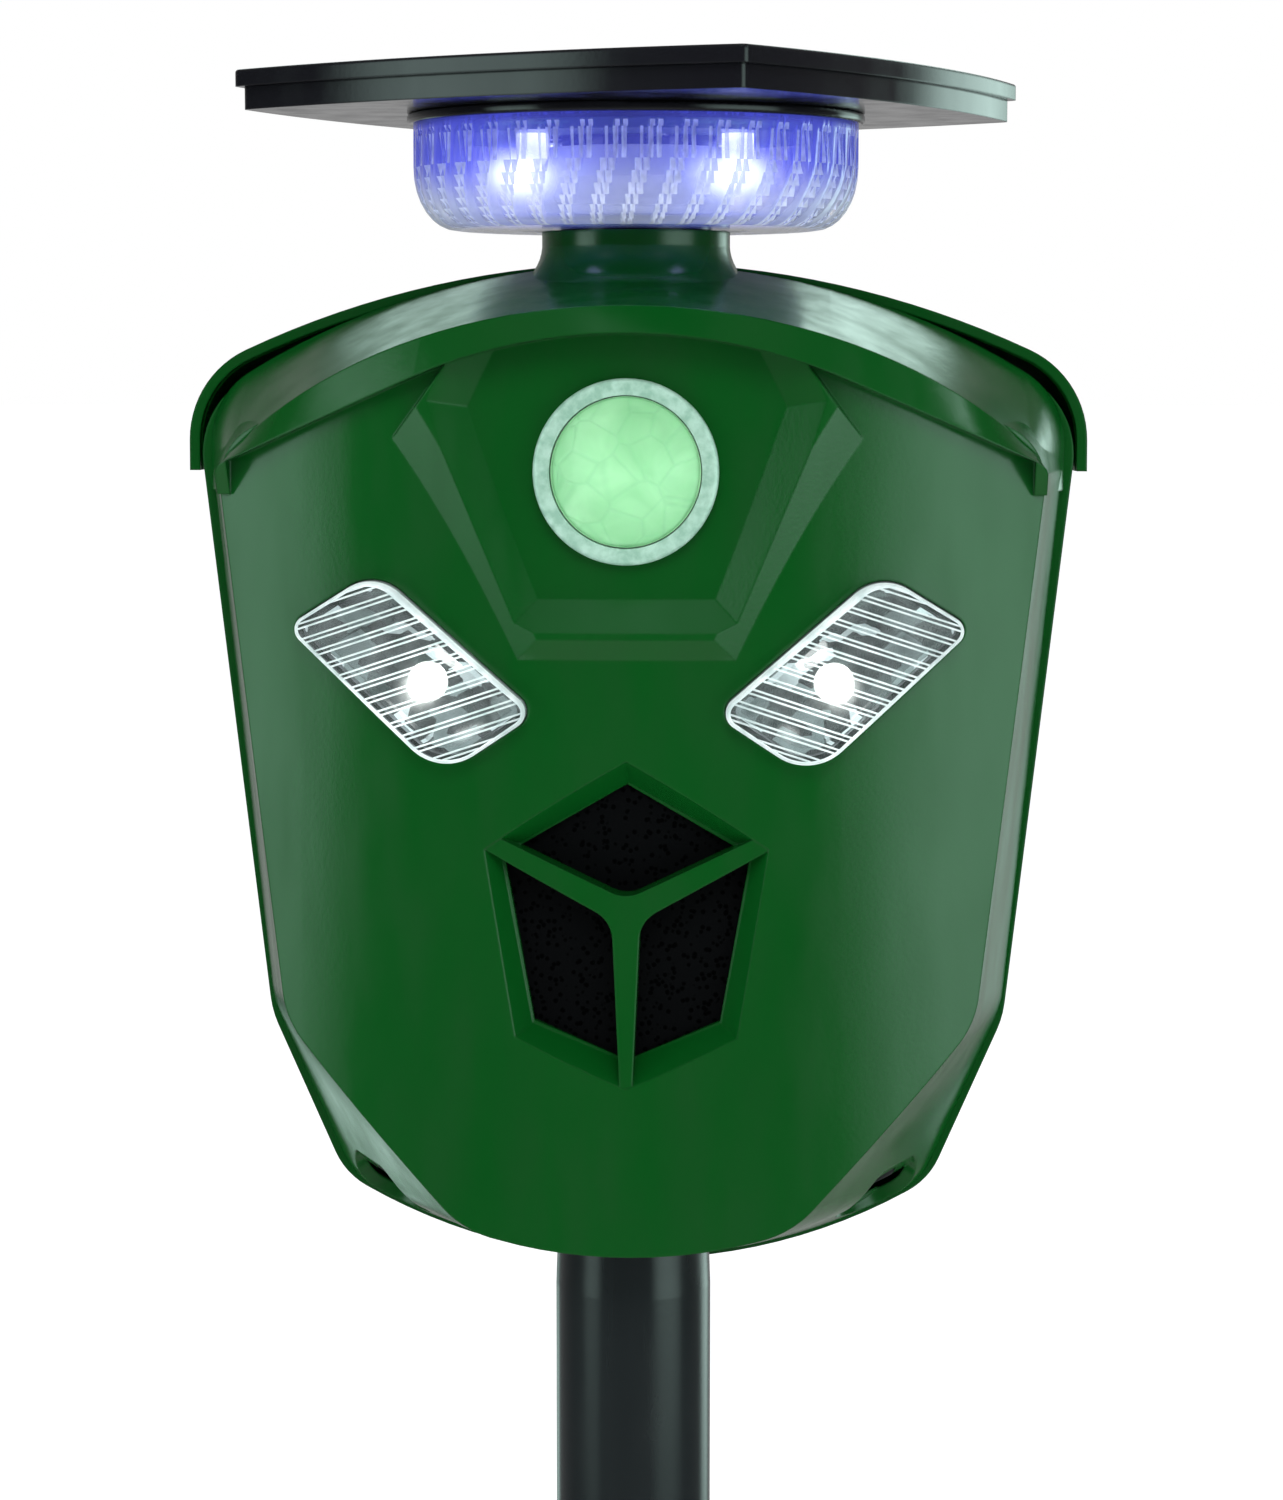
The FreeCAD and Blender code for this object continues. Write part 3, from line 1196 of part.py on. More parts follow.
def solar_cells():
    """Backing sheet with eight strips of cell under the glass."""
    sheet = slab(TRAY_TOP + 0.05, TRAY_TOP + 0.65, 5.8)
    size, step = 9.0, 9.5
    strips = []
    for i in range(8):
        x = (i - 3.5) * step
        strips.append(block(at(x - size / 2, -38, TRAY_TOP + 0.65), at(x + size / 2, 38, TRAY_TOP + 0.95)))
    return sheet.fuse([turn_about_neck(strip) for strip in strips])


def turn_about_neck(shape):
    """Shape drawn about the origin, square to the panel, moved to the head's place and angle."""
    piece = shape.copy()
    piece.rotate(at(0, 0, 0), at(0, 0, 1), PANEL_TURN + 45.0)
    piece.translate(at(0, NECK_Y, 0))
    return piece


def collar_screws():
    screws = []
    for x, y in collar_screw_spots():
        seat = LENS_TOP - FLANGE_THICK
        head = cylinder(1.7, seat - 1.0, seat, x, y).cut(cylinder(0.8, 0, seat - 0.5, x, y))
        shank = cylinder(0.95, seat - 0.1, TRAY_TOP - 1.3, x, y)
        screws.append(fuse([head, shank]))
    return Part.makeCompound(screws)


# ---- pole ---------------------------------------------------------------------------------
SOCKET_TOP = -129.0


def pole_socket():
    """Sleeve captured between the mouldings; the pole pushes up into it."""
    sleeve = ring(SOCKET_R, POLE_R + 0.08, -170.0, SOCKET_TOP)
    cap = cylinder(SOCKET_R, SOCKET_TOP - 2.0, SOCKET_TOP)
    flange = ring(20.0, SOCKET_R - 1, -148.0, -145.5)
    socket = fuse([sleeve, cap, flange])
    front_half = socket.common(front_body()).common(block(at(-50, -50, -200), at(50, PARTING_Y, 0)))
    rear_half = socket.common(loft([outline_rear(PARTING_Y), outline_rear(REAR_Y)]))
    return fuse([front_half, rear_half])


def tube_between(low, high):
    return ring(POLE_R, POLE_R - POLE_WALL, low, high)


def pole_upper():
    """Upper tube, tapered slightly where it goes up into the housing."""
    reduced = POLE_R - 0.25
    bore = POLE_R - POLE_WALL
    taper_top = POLE_NECKED + POLE_TAPER
    taper = Part.makeCone(POLE_R, reduced, POLE_TAPER, at(0, 0, POLE_NECKED))
    taper = taper.cut(cylinder(bore, POLE_NECKED - 1.0, taper_top + 1.0))
    top = ring(reduced, bore, taper_top, BODY_LEVEL + POLE_TOP)
    return fuse([tube_between(POLE_JOINT + 0.3, POLE_NECKED), taper, top])


def pole_lower():
    return tube_between(SPIKE_SHOULDER + 0.3, POLE_JOINT)


def pole_joiner():
    """Spigot that joins the two tubes, with a thin stop between them."""
    inner = POLE_R - POLE_WALL - 0.08
    sleeve = ring(inner, inner - 2.0, POLE_JOINT - 28.0, POLE_JOINT + 28.0)
    stop = ring(POLE_R - 0.2, inner - 1.0, POLE_JOINT + 0.02, POLE_JOINT + 0.28)
    return fuse([sleeve, stop])


def ground_spike():
    """Cross-shaped spike with a collar at ground level and a plug into the pole."""
    plug = cylinder(POLE_R - POLE_WALL - 0.08, SPIKE_SHOULDER - 1, SPIKE_SHOULDER + 26.0)
    collar = cylinder(POLE_R, 0.0, SPIKE_SHOULDER)
    width, thick = POLE_R - 0.3, 1.4
    straight = -95.0
    points = [at(-width, -thick, 1), at(-width, -thick, straight), at(-0.8, -thick, SPIKE_TIP),
              at(0.8, -thick, SPIKE_TIP), at(width, -thick, straight), at(width, -thick, 1)]
    spike = plug.fuse(collar)
    blade = Part.Face(Part.makePolygon(points + points[:1])).extrude(at(0, 2 * thick, 0))
    for angle in (0, 90):
        fin = blade.copy()
        fin.rotate(at(0, 0, 0), at(0, 0, 1), angle)
        spike = spike.fuse(fin)
    core = Part.makeCone(0.9, 4.0, 1.0 - SPIKE_TIP, at(0, 0, SPIKE_TIP))
    return spike.fuse(core).removeSplitter()


def save(name, shape, lift=BODY_LEVEL):
    moved = shape.translated(at(0, 0, lift))
    moved.exportStep(os.path.join("parts", name + ".step"))


def save_housing():
    save("front_shell", front_shell())
    save("rear_shell", rear_shell())
    save("rear_hood", rear_hood())
    save("shell_seal", shell_seal())
    save("shell_screws", shell_screws())
    save("hood_screws", hood_screws())
    save("pir_ring", pir_ring())
    save("pir_dome", pir_dome())
    save("pir_sensor", pir_sensor())
    save("pir_board", pir_board())
    lens, tub = eye_lens(), eye_reflector()
    save("eye_lens_right", lens)
    save("eye_lens_left", mirrored(lens))
    save("eye_reflector_right", tub)
    save("eye_reflector_left", mirrored(tub))
    pairs = (("eye_leds", eye_led()), ("eye_boards", eye_board()), ("port_screens", port_screen()))
    for name, piece in pairs:
        save(name, Part.makeCompound([piece, mirrored(piece)]))
    save("speaker_mesh", speaker_mesh())
    save("speaker_frame", speaker_frame())
    save("speaker_cone", speaker_cone())
    save("speaker_magnet", speaker_magnet())


def save_rear_fittings():
    save("main_board", main_board())
    save("board_parts", board_parts())
    save("board_screws", board_screws())
    save("rotary_switch", rotary_switch())
    save("mode_knob", mode_knob())
    save("usb_socket", usb_socket())
    save("usb_cover", usb_cover())
    save("usb_strap", usb_strap())
    save("battery_holder", battery_holder())
    save("battery_cells", battery_cells())
    save("battery_contacts", battery_contacts())
    save("battery_door", battery_door())
    save("door_gasket", door_gasket())
    save("door_screw", door_screw())


def save_head():
    save("swivel_spigot", swivel_spigot())
    save("swivel_clip", swivel_clip())
    save("beacon_lens", beacon_lens())
    save("beacon_reflector", beacon_reflector())
    save("beacon_board", beacon_board())
    save("beacon_leds", beacon_leds())
    save("beacon_collar", beacon_collar())
    save("collar_screws", collar_screws())
    save("panel_tray", panel_tray())
    save("panel_rim", panel_rim())
    save("solar_cells", solar_cells())
    save("solar_glass", solar_glass())


def save_pole():
    save("pole_socket", pole_socket())
    save("pole_upper", pole_upper(), 0.0)
    save("pole_joiner", pole_joiner(), 0.0)
    save("pole_lower", pole_lower(), 0.0)
    save("ground_spike", ground_spike(), 0.0)


def main():
    os.makedirs("parts", exist_ok=True)
    save_housing()
    save_rear_fittings()
    save_head()
    save_pole()


main()
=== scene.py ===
import json
import math

import bpy
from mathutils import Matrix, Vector

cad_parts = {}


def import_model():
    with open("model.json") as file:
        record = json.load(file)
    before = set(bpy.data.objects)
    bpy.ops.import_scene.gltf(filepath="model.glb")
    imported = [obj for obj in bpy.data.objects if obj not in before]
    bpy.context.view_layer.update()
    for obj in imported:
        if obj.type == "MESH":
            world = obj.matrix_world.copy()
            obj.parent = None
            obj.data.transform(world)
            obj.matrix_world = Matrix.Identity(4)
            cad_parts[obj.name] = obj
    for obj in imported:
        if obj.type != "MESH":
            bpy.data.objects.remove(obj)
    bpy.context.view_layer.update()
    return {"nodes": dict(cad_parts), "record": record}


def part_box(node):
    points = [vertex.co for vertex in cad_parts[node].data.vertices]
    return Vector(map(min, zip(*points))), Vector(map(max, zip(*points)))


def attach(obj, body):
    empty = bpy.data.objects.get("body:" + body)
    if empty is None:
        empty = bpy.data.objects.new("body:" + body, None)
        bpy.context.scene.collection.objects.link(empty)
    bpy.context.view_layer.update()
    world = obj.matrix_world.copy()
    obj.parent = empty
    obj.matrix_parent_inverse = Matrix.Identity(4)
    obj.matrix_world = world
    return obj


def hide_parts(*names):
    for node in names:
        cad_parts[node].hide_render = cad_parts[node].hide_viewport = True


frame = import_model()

# ---- dimensions of the object, in metres --------------------------------------------------
LEVEL = 0.360                       # foot of the neck above the ground
NECK_Y = 0.010                      # swivel axis
FACE_AXIS_Y = 0.109                 # axis of the drum that the face lies on
FACE_RADIUS = 0.135
EYE = [(0.0385, -0.0493), (0.0530, -0.0584), (0.0283, -0.0808), (0.0135, -0.0708)]
EYE_RADII = [0.0070, 0.0022, 0.0080, 0.0026]
EYE_LIFT = 0.0022                   # how far the eye's lens stands off the face
EYE_LED = (0.0318, -0.0675)
SPEAKER_AXIS_Z = LEVEL - 0.104
PANEL_ANGLE = math.radians(16.4 + 45.0)
KNOB = (-0.020, 0.300)
BEACON_LAMPS = [(-0.0163, -0.0210, LEVEL + 0.0105), (0.0163, -0.0210, LEVEL + 0.0105)]


# ---- shader helpers -----------------------------------------------------------------------
class Shader:
    """A material with a Principled shader and short ways to add nodes to it."""

    def __init__(self, name):
        self.material = bpy.data.materials.new(name)
        self.material.use_nodes = True
        self.tree = self.material.node_tree
        self.surface = self.tree.nodes["Principled BSDF"]
        self.place = self.add("ShaderNodeTexCoord").outputs["Object"]

    def add(self, kind, **settings):
        node = self.tree.nodes.new(kind)
        for key, value in settings.items():
            setattr(node, key, value)
        return node

    def join(self, source, target):
        self.tree.links.new(source, target)

    def feed(self, source, socket):
        self.join(source, self.surface.inputs[socket])

    def put(self, **values):
        for key, value in values.items():
            self.surface.inputs[key.replace("_", " ")].default_value = value

    def stretch(self, scale, turn=(0, 0, 0), shift=(0, 0, 0)):
        node = self.add("ShaderNodeMapping")
        node.inputs["Scale"].default_value = scale
        node.inputs["Rotation"].default_value = turn
        node.inputs["Location"].default_value = shift
        self.join(self.place, node.inputs["Vector"])
        return node.outputs["Vector"]

    def noise(self, scale, detail=2.0, where=None, distortion=0.0):
        node = self.add("ShaderNodeTexNoise")
        node.inputs["Scale"].default_value = scale
        node.inputs["Detail"].default_value = detail
        node.inputs["Distortion"].default_value = distortion
        self.join(where or self.place, node.inputs["Vector"])
        return node.outputs["Fac"]

    def cells(self, scale, feature="F1", output="Distance", where=None, metric="EUCLIDEAN"):
        node = self.add("ShaderNodeTexVoronoi", feature=feature)
        if feature != "DISTANCE_TO_EDGE":
            node.distance = metric
        node.inputs["Scale"].default_value = scale
        self.join(where or self.place, node.inputs["Vector"])
        return node.outputs[output]

    def waves(self, scale, where, rings=False):
        """Straight bands along Y, or spherical rings."""
        node = self.add("ShaderNodeTexWave", bands_direction="Y")
        if rings:
            node.wave_type = "RINGS"
            node.rings_direction = "SPHERICAL"
        node.inputs["Scale"].default_value = scale
        node.inputs["Distortion"].default_value = 0.0
        self.join(where, node.inputs["Vector"])
        return node.outputs["Fac"]

    def ramp(self, fac, stops, mode="LINEAR"):
        node = self.add("ShaderNodeValToRGB")
        node.color_ramp.interpolation = mode
        elements = node.color_ramp.elements
        while len(elements) < len(stops):
            elements.new(0.5)
        for element, (spot, colour) in zip(elements, stops):
            element.position = spot
            element.color = colour if len(colour) == 4 else (*colour, 1.0)
        self.join(fac, node.inputs["Fac"])
        return node.outputs["Color"]

    def span(self, value, low, high, start=0.0, end=1.0, smooth=False):
        node = self.add("ShaderNodeMapRange")
        if smooth:
            node.interpolation_type = "SMOOTHSTEP"
        node.inputs["From Min"].default_value = start
        node.inputs["From Max"].default_value = end
        node.inputs["To Min"].default_value = low
        node.inputs["To Max"].default_value = high
        self.join(value, node.inputs["Value"])
        return node.outputs["Result"]

    def math(self, operation, first, second=None):
        node = self.add("ShaderNodeMath", operation=operation)
        for socket, value in zip(node.inputs, (first, second)):
            if value is None:
                continue
            if isinstance(value, (int, float)):
                socket.default_value = value
            else:
                self.join(value, socket)
        return node.outputs["Value"]

    def mix(self, fac, first, second):
        node = self.add("ShaderNodeMix", data_type="RGBA")
        for socket, value in ((node.inputs[0], fac), (node.inputs[6], first), (node.inputs[7], second)):
            if isinstance(value, (int, float)):
                socket.default_value = value
            elif isinstance(value, tuple):
                socket.default_value = (*value, 1.0)
            else:
                self.join(value, socket)
        return node.outputs[2]

    def axis(self, name):
        node = self.add("ShaderNodeSeparateXYZ")
        self.join(self.place, node.inputs["Vector"])
        return node.outputs[name]

    def distance(self, centre, squeeze):
        """Distance from a point, in metres, on squeezed axes."""
        moved = self.stretch(squeeze, shift=tuple(-c * s for c, s in zip(centre, squeeze)))
        node = self.add("ShaderNodeVectorMath", operation="LENGTH")
        self.join(moved, node.inputs[0])
        return node.outputs["Value"]

    def bump(self, height, depth, strength, normal=None):
        node = self.add("ShaderNodeBump")
        node.inputs["Strength"].default_value = strength
        node.inputs["Distance"].default_value = depth
        self.join(height, node.inputs["Height"])
        if normal is not None:
            self.join(normal, node.inputs["Normal"])
        return node.outputs["Normal"]

    def soft_edges(self, radius):
        node = self.add("ShaderNodeBevel", samples=4)
        node.inputs["Radius"].default_value = radius
        return node.outputs["Normal"]


def moulded(name, colour, roughness, grain=1400.0, grain_depth=0.00002, edge=0.0004, tint=0.1):
    """Injection-moulded plastic: soft edges, slight flow shading, a fine grain and faint handling marks."""
    s = Shader(name)
    flow = s.noise(18.0, 3.0, distortion=0.6)
    dark = tuple(c * (1.0 - tint) for c in colour)
    light = tuple(min(1.0, c * (1.0 + tint)) for c in colour)
    s.feed(s.mix(flow, dark, light), "Base Color")
    marks = s.noise(160.0, 4.0, where=s.stretch((1.0, 1.0, 0.25)))
    s.feed(s.span(marks, roughness - 0.05, roughness + 0.07, 0.3, 0.7), "Roughness")
    normal = s.soft_edges(edge) if edge else None
    s.feed(s.bump(s.noise(grain, 2.0), grain_depth, 0.5, normal), "Normal")
    return s


def metal(name, colour, roughness, brush=(1.0, 1.0, 12.0), scale=260.0):
    """Bare metal with fine drawn lines and stains."""
    s = Shader(name)
    lines = s.noise(scale, 3.0, where=s.stretch(brush))
    dark = tuple(c * 0.72 for c in colour)
    s.feed(s.mix(lines, dark, colour), "Base Color")
    s.put(Metallic=1.0)
    s.feed(s.span(s.noise(90.0, 4.0), roughness - 0.08, roughness + 0.12, 0.3, 0.7), "Roughness")
    s.feed(s.bump(lines, 0.00003, 0.4, s.soft_edges(0.0002)), "Normal")
    return s


# ---- materials ----------------------------------------------------------------------------
def green_gloss():
    return moulded("green_gloss", (0.0012, 0.0600, 0.0068), 0.20, edge=0.0005).material


def clear_lens():
    """Clear polycarbonate, whiter where it is seen edge on, with a painted glow round the lamp's LED."""
    s = Shader("clear_lens")
    s.put(Base_Color=(0.78, 0.86, 0.88, 1.0), Roughness=0.07, IOR=1.5)
    weight = s.add("ShaderNodeLayerWeight")
    weight.inputs["Blend"].default_value = 0.35
    haze = s.noise(220.0, 3.0)
    edge_on = s.span(weight.outputs["Facing"], 0.05, 0.8, 0.2, 0.9)
    s.feed(s.math("ADD", edge_on, s.span(haze, -0.03, 0.05, 0.3, 0.7)), "Alpha")
    s.feed(s.bump(s.noise(500.0, 2.0), 0.00002, 0.4), "Normal")
    # painted glow: emission on the lens round the LED behind the eye
    glow = led_glow(s, 0.0008, 0.0062)
    s.put(Emission_Color=(0.93, 1.0, 0.96, 1.0))
    s.feed(s.math("MULTIPLY", s.math("POWER", glow, 2.5), 5.0), "Emission Strength")
    return s.material


def led_glow(s, core, reach):
    """1 at the LEDs behind the two eyes, falling to 0 at reach: the mask for the glow painted round them. The
    face is symmetric, so |x| serves both.
    """
    across = s.math("SUBTRACT", s.math("ABSOLUTE", s.axis("X")), EYE_LED[0])
    up = s.math("SUBTRACT", s.axis("Z"), LEVEL + EYE_LED[1])
    square = s.math("ADD", s.math("POWER", s.math("ABSOLUTE", across), 2.0),
                    s.math("POWER", s.math("ABSOLUTE", up), 2.0))
    return s.span(s.math("SQRT", square), 1.0, 0.0, core, reach, smooth=True)


def chrome_tray():
    """Vacuum-metallised facets, with painted reflections: patches of black, grey and white between the ribs,
    and a painted glow round the LED.
    """
    s = Shader("chrome_tray")
    merged = s.add("ShaderNodeCombineXYZ")
    s.join(s.math("ABSOLUTE", s.axis("X")), merged.inputs["X"])
    s.join(s.axis("Z"), merged.inputs["Z"])
    turned = s.add("ShaderNodeMapping")
    turned.inputs["Rotation"].default_value = (0, math.radians(-40.0), 0)
    turned.inputs["Scale"].default_value = (210.0, 1.0, 330.0)
    s.join(merged.outputs["Vector"], turned.inputs["Vector"])
    facet = s.cells(1.0, output="Color", where=turned.outputs["Vector"], metric="CHEBYCHEV")
    value = s.add("ShaderNodeSeparateColor")
    s.join(facet, value.inputs["Color"])
    # painted reflections: black, grey and white patches stand for what the metallised facets mirror
    painted_reflection_patch = s.ramp(value.outputs["Red"], [(0.0, (0.004, 0.007, 0.006)), (0.40, (0.035, 0.055, 0.05)),
                                          (0.56, (0.22, 0.28, 0.28)), (0.74, (0.66, 0.75, 0.77))], "CONSTANT")
    s.feed(painted_reflection_patch, "Base Color")
    s.put(Metallic=0.2)
    s.feed(s.span(value.outputs["Green"], 0.06, 0.3), "Roughness")
    s.feed(s.bump(value.outputs["Blue"], 0.0006, 0.6), "Normal")
    # painted glow round the LED, in the colours of the painted reflection patches
    glow = s.span(led_glow(s, 0.001, 0.011), 0.10, 0.6)
    s.feed(painted_reflection_patch, "Emission Color")
    s.feed(glow, "Emission Strength")
    return s.material


def rib_clear():
    """Ribs and rim of the eye lenses: clear plastic painted whitish for the light it gathers, with a painted
    glow round the LED.
    """
    s = Shader("rib_clear")
    weight = s.add("ShaderNodeLayerWeight")
    weight.inputs["Blend"].default_value = 0.5
    shade = s.noise(300.0, 2.0)
    # painted light: the whitish base stands for light gathered in the clear ribs
    s.feed(s.ramp(shade, [(0.3, (0.55, 0.66, 0.66)), (0.6, (0.88, 0.95, 0.95))]), "Base Color")
    s.put(Roughness=0.12)
    s.feed(s.span(weight.outputs["Facing"], 0.62, 1.0, 0.0, 0.7), "Alpha")
    # painted glow round the LED behind the eye
    s.put(Emission_Color=(0.9, 1.0, 0.97, 1.0))
    s.feed(s.span(led_glow(s, 0.002, 0.016), 0.10, 0.55), "Emission Strength")
    s.feed(s.bump(shade, 0.00004, 0.3), "Normal")
    return s.material


def silver_ring():
    s = Shader("silver_ring")
    fine = s.noise(700.0, 3.0)
    s.feed(s.ramp(fine, [(0.35, (0.27, 0.46, 0.36)), (0.65, (0.42, 0.62, 0.52))]), "Base Color")
    s.put(Metallic=0.15)
    s.feed(s.span(fine, 0.28, 0.48), "Roughness")
    s.feed(s.bump(fine, 0.00005, 0.5, s.soft_edges(0.0004)), "Normal")
    return s.material


def dome_white():
    """Milky Fresnel dome: rings of shallow facets, darker in the joints between them."""
    s = Shader("dome_white")
    where = s.stretch((1.0, 0.15, 1.0))
    joints = s.cells(190.0, "DISTANCE_TO_EDGE", where=where)
    lines = s.span(joints, 0.0, 1.0, 0.0, 0.07, smooth=True)
    cloud = s.noise(130.0, 3.0, where=where, distortion=0.8)
    milk = s.ramp(cloud, [(0.3, (0.27, 0.62, 0.31)), (0.7, (0.38, 0.76, 0.42))])
    s.feed(s.mix(s.span(lines, 0.16, 0.0), milk, (0.18, 0.50, 0.25)), "Base Color")
    s.put(Roughness=0.38, Subsurface_Weight=0.25, Subsurface_Radius=(0.4, 1.0, 0.5), Subsurface_Scale=0.0015)
    s.feed(s.bump(lines, 0.0001, 0.5), "Normal")
    return s.material


def sensor_can():
    return metal("sensor_can", (0.70, 0.68, 0.62), 0.30).material


def dark_mesh():
    """Perforated steel sheet, black, with rows of small round holes."""
    s = Shader("dark_mesh")
    holes = s.cells(900.0, where=s.stretch((1.0, 0.0, 1.0)))
    web = s.span(holes, 0.0, 1.0, 0.25, 0.42, smooth=True)
    s.feed(s.mix(web, (0.0004, 0.0004, 0.0005), (0.0022, 0.0024, 0.0028)), "Base Color")
    s.put(Specular_IOR_Level=0.04)
    s.feed(s.span(web, 0.9, 0.5), "Roughness")
    s.feed(s.bump(web, 0.00012, 0.6), "Normal")
    return s.material


def speaker_steel():
    return metal("speaker_steel", (0.42, 0.43, 0.45), 0.34, brush=(6.0, 1.0, 6.0)).material


def speaker_paper():
    """Pressed paper cone with round corrugations and loose fibres."""
    s = Shader("speaker_paper")
    from_axis = s.stretch((1.0, 0.0, 1.0), shift=(0.0, 0.0, -SPEAKER_AXIS_Z))
    rings = s.waves(350.0, from_axis, rings=True)
    fibre = s.noise(900.0, 6.0, distortion=2.0)
    s.feed(s.mix(fibre, (0.012, 0.012, 0.013), (0.05, 0.05, 0.052)), "Base Color")
    s.put(Roughness=0.85)
    s.feed(s.bump(s.math("ADD", rings, s.math("MULTIPLY", fibre, 0.6)), 0.0002, 0.6), "Normal")
    return s.material


def speaker_paint():
    return moulded("speaker_paint", (0.02, 0.02, 0.022), 0.45, grain=900.0, grain_depth=0.00004).material


def board_green():
    """Solder mask over copper tracks."""
    s = Shader("board_green")
    grid = s.add("ShaderNodeTexBrick", offset=0.37)
    grid.inputs["Scale"].default_value = 150.0
    grid.inputs["Mortar Size"].default_value = 0.03
    grid.inputs["Mortar Smooth"].default_value = 0.2
    s.join(s.stretch((1.0, 1.0, 1.0), turn=(math.radians(90.0), 0, 0)), grid.inputs["Vector"])
    broken = s.span(s.noise(90.0, 1.0), 0.0, 1.0, 0.48, 0.52)
    track = s.math("MULTIPLY", grid.outputs["Fac"], broken)
    s.feed(s.mix(track, (0.008, 0.075, 0.028), (0.035, 0.19, 0.07)), "Base Color")
    s.feed(s.span(s.noise(400.0), 0.22, 0.4), "Roughness")
    s.feed(s.bump(track, 0.00005, 0.6), "Normal")
    return s.material


def board_white():
    return moulded("board_white", (0.72, 0.74, 0.72), 0.35, grain=1600.0, tint=0.04, edge=0.0).material


def part_black():
    s = moulded("part_black", (0.014, 0.014, 0.015), 0.55, grain=2200.0, grain_depth=0.00005, edge=0.0002)
    return s.material


def led_white():
    """Encapsulated LEDs, lit: blue-violet in the beacon and white in the eyes."""
    s = Shader("led_white")
    upper = s.span(s.axis("Z"), 0.0, 1.0, LEVEL, LEVEL + 0.004)
    frost = s.noise(900.0, 2.0)
    s.feed(s.mix(frost, (0.75, 0.78, 0.80), (0.95, 0.97, 1.0)), "Base Color")
    s.feed(s.mix(upper, (0.95, 1.0, 0.97), (0.42, 0.46, 1.0)), "Emission Color")
    s.feed(s.span(frost, 3.0, 5.0), "Emission Strength")
    s.feed(s.span(frost, 0.15, 0.3), "Roughness")
    s.feed(s.bump(frost, 0.00003, 0.4), "Normal")
    return s.material


def screw_steel():
    return metal("screw_steel", (0.62, 0.62, 0.60), 0.28, brush=(4.0, 4.0, 4.0), scale=500.0).material


def contact_steel():
    return metal("contact_steel", (0.74, 0.73, 0.70), 0.22, brush=(1.0, 8.0, 1.0), scale=420.0).material


def cell_sleeve():
    """Shrink sleeve: a green band in the middle of the row, grey bands outside it."""
    s = Shader("cell_sleeve")
    along = s.span(s.math("ABSOLUTE", s.axis("X")), 0.0, 1.0, 0.0, 0.026)
    green, grey, end_grey = (0.03, 0.16, 0.06), (0.55, 0.57, 0.56), (0.68, 0.67, 0.64)
    band = s.ramp(along, [(0.0, green), (0.62, grey), (0.93, end_grey)], "CONSTANT")
    s.feed(s.mix(s.span(s.noise(60.0, 3.0), 0.0, 0.25), band, (0.02, 0.05, 0.03)), "Base Color")
    s.feed(s.span(s.noise(300.0), 0.18, 0.34), "Roughness")
    s.feed(s.bump(s.noise(240.0, 2.0, where=s.stretch((0.3, 1.0, 1.0))), 0.00006, 0.5), "Normal")
    return s.material


def rubber_black():
    """Soft rubber: matt, dusty, slightly uneven."""
    s = moulded("rubber_black", (0.020, 0.020, 0.021), 0.72, grain=2400.0, grain_depth=0.00006, edge=0.0003)
    s.put(Sheen_Weight=0.15, Sheen_Roughness=0.5)
    return s.material


def knob_black():
    """Matt knob with a white line that shows where it points."""
    s = Shader("knob_black")
    beside = s.math("ABSOLUTE", s.math("SUBTRACT", s.axis("X"), KNOB[0]))
    narrow = s.math("LESS_THAN", beside, 0.0007)
    above = s.math("GREATER_THAN", s.axis("Z"), KNOB[1] + 0.0025)
    facing = s.math("GREATER_THAN", s.axis("Y"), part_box("mode_knob")[1].y - 0.0008)
    line = s.math("MULTIPLY", s.math("MULTIPLY", narrow, above), facing)
    body = s.mix(s.noise(120.0, 3.0), (0.010, 0.010, 0.011), (0.022, 0.022, 0.024))
    s.feed(s.mix(line, body, (0.75, 0.77, 0.76)), "Base Color")
    s.feed(s.span(s.noise(600.0), 0.42, 0.6), "Roughness")
    s.feed(s.bump(s.noise(1900.0), 0.00004, 0.5, s.soft_edges(0.0003)), "Normal")
    return s.material


def beacon_clear():
    """Clear ribbed drum, with the light of its blue-violet LEDs painted on: a glow round each LED, and a blue
    tint and faint glow over its upper part.
    """
    s = Shader("beacon_clear")
    weight = s.add("ShaderNodeLayerWeight")
    weight.inputs["Blend"].default_value = 0.45
    left, right = (s.distance(lamp_place, (0.60, 0.5, 1.0)) for lamp_place in BEACON_LAMPS)
    near = s.math("MINIMUM", left, right)
    hot = s.span(near, 1.0, 0.0, 0.0002, 0.0060, smooth=True)
    halo = s.span(near, 1.0, 0.0, 0.001, 0.017, smooth=True)
    height = s.span(s.axis("Z"), 0.0, 1.0, LEVEL + 0.0055, LEVEL + 0.014, smooth=True)
    # painted light: the upper part is tinted blue for the LEDs' light inside it
    s.feed(s.mix(height, (0.60, 0.63, 0.78), (0.10, 0.11, 0.62)), "Base Color")
    edge_on = s.span(weight.outputs["Facing"], 0.10, 0.9, 0.1, 0.8)
    body = s.math("ADD", edge_on, s.math("MULTIPLY", height, 0.20))
    s.feed(s.math("ADD", body, s.math("MULTIPLY", hot, 0.6)), "Alpha")
    # painted glow round the LEDs, with a faint painted glow over the upper part
    s.feed(s.mix(hot, (0.10, 0.12, 1.0), (0.85, 0.95, 1.0)), "Emission Color")
    glow = s.math("ADD", s.math("MULTIPLY", halo, 0.50), s.math("MULTIPLY", hot, 1.1))
    s.feed(s.math("ADD", glow, s.math("MULTIPLY", height, 0.10)), "Emission Strength")
    s.feed(s.span(s.noise(200.0), 0.05, 0.14), "Roughness")
    s.feed(s.bump(s.noise(420.0, 2.0), 0.00003, 0.4), "Normal")
    return s.material


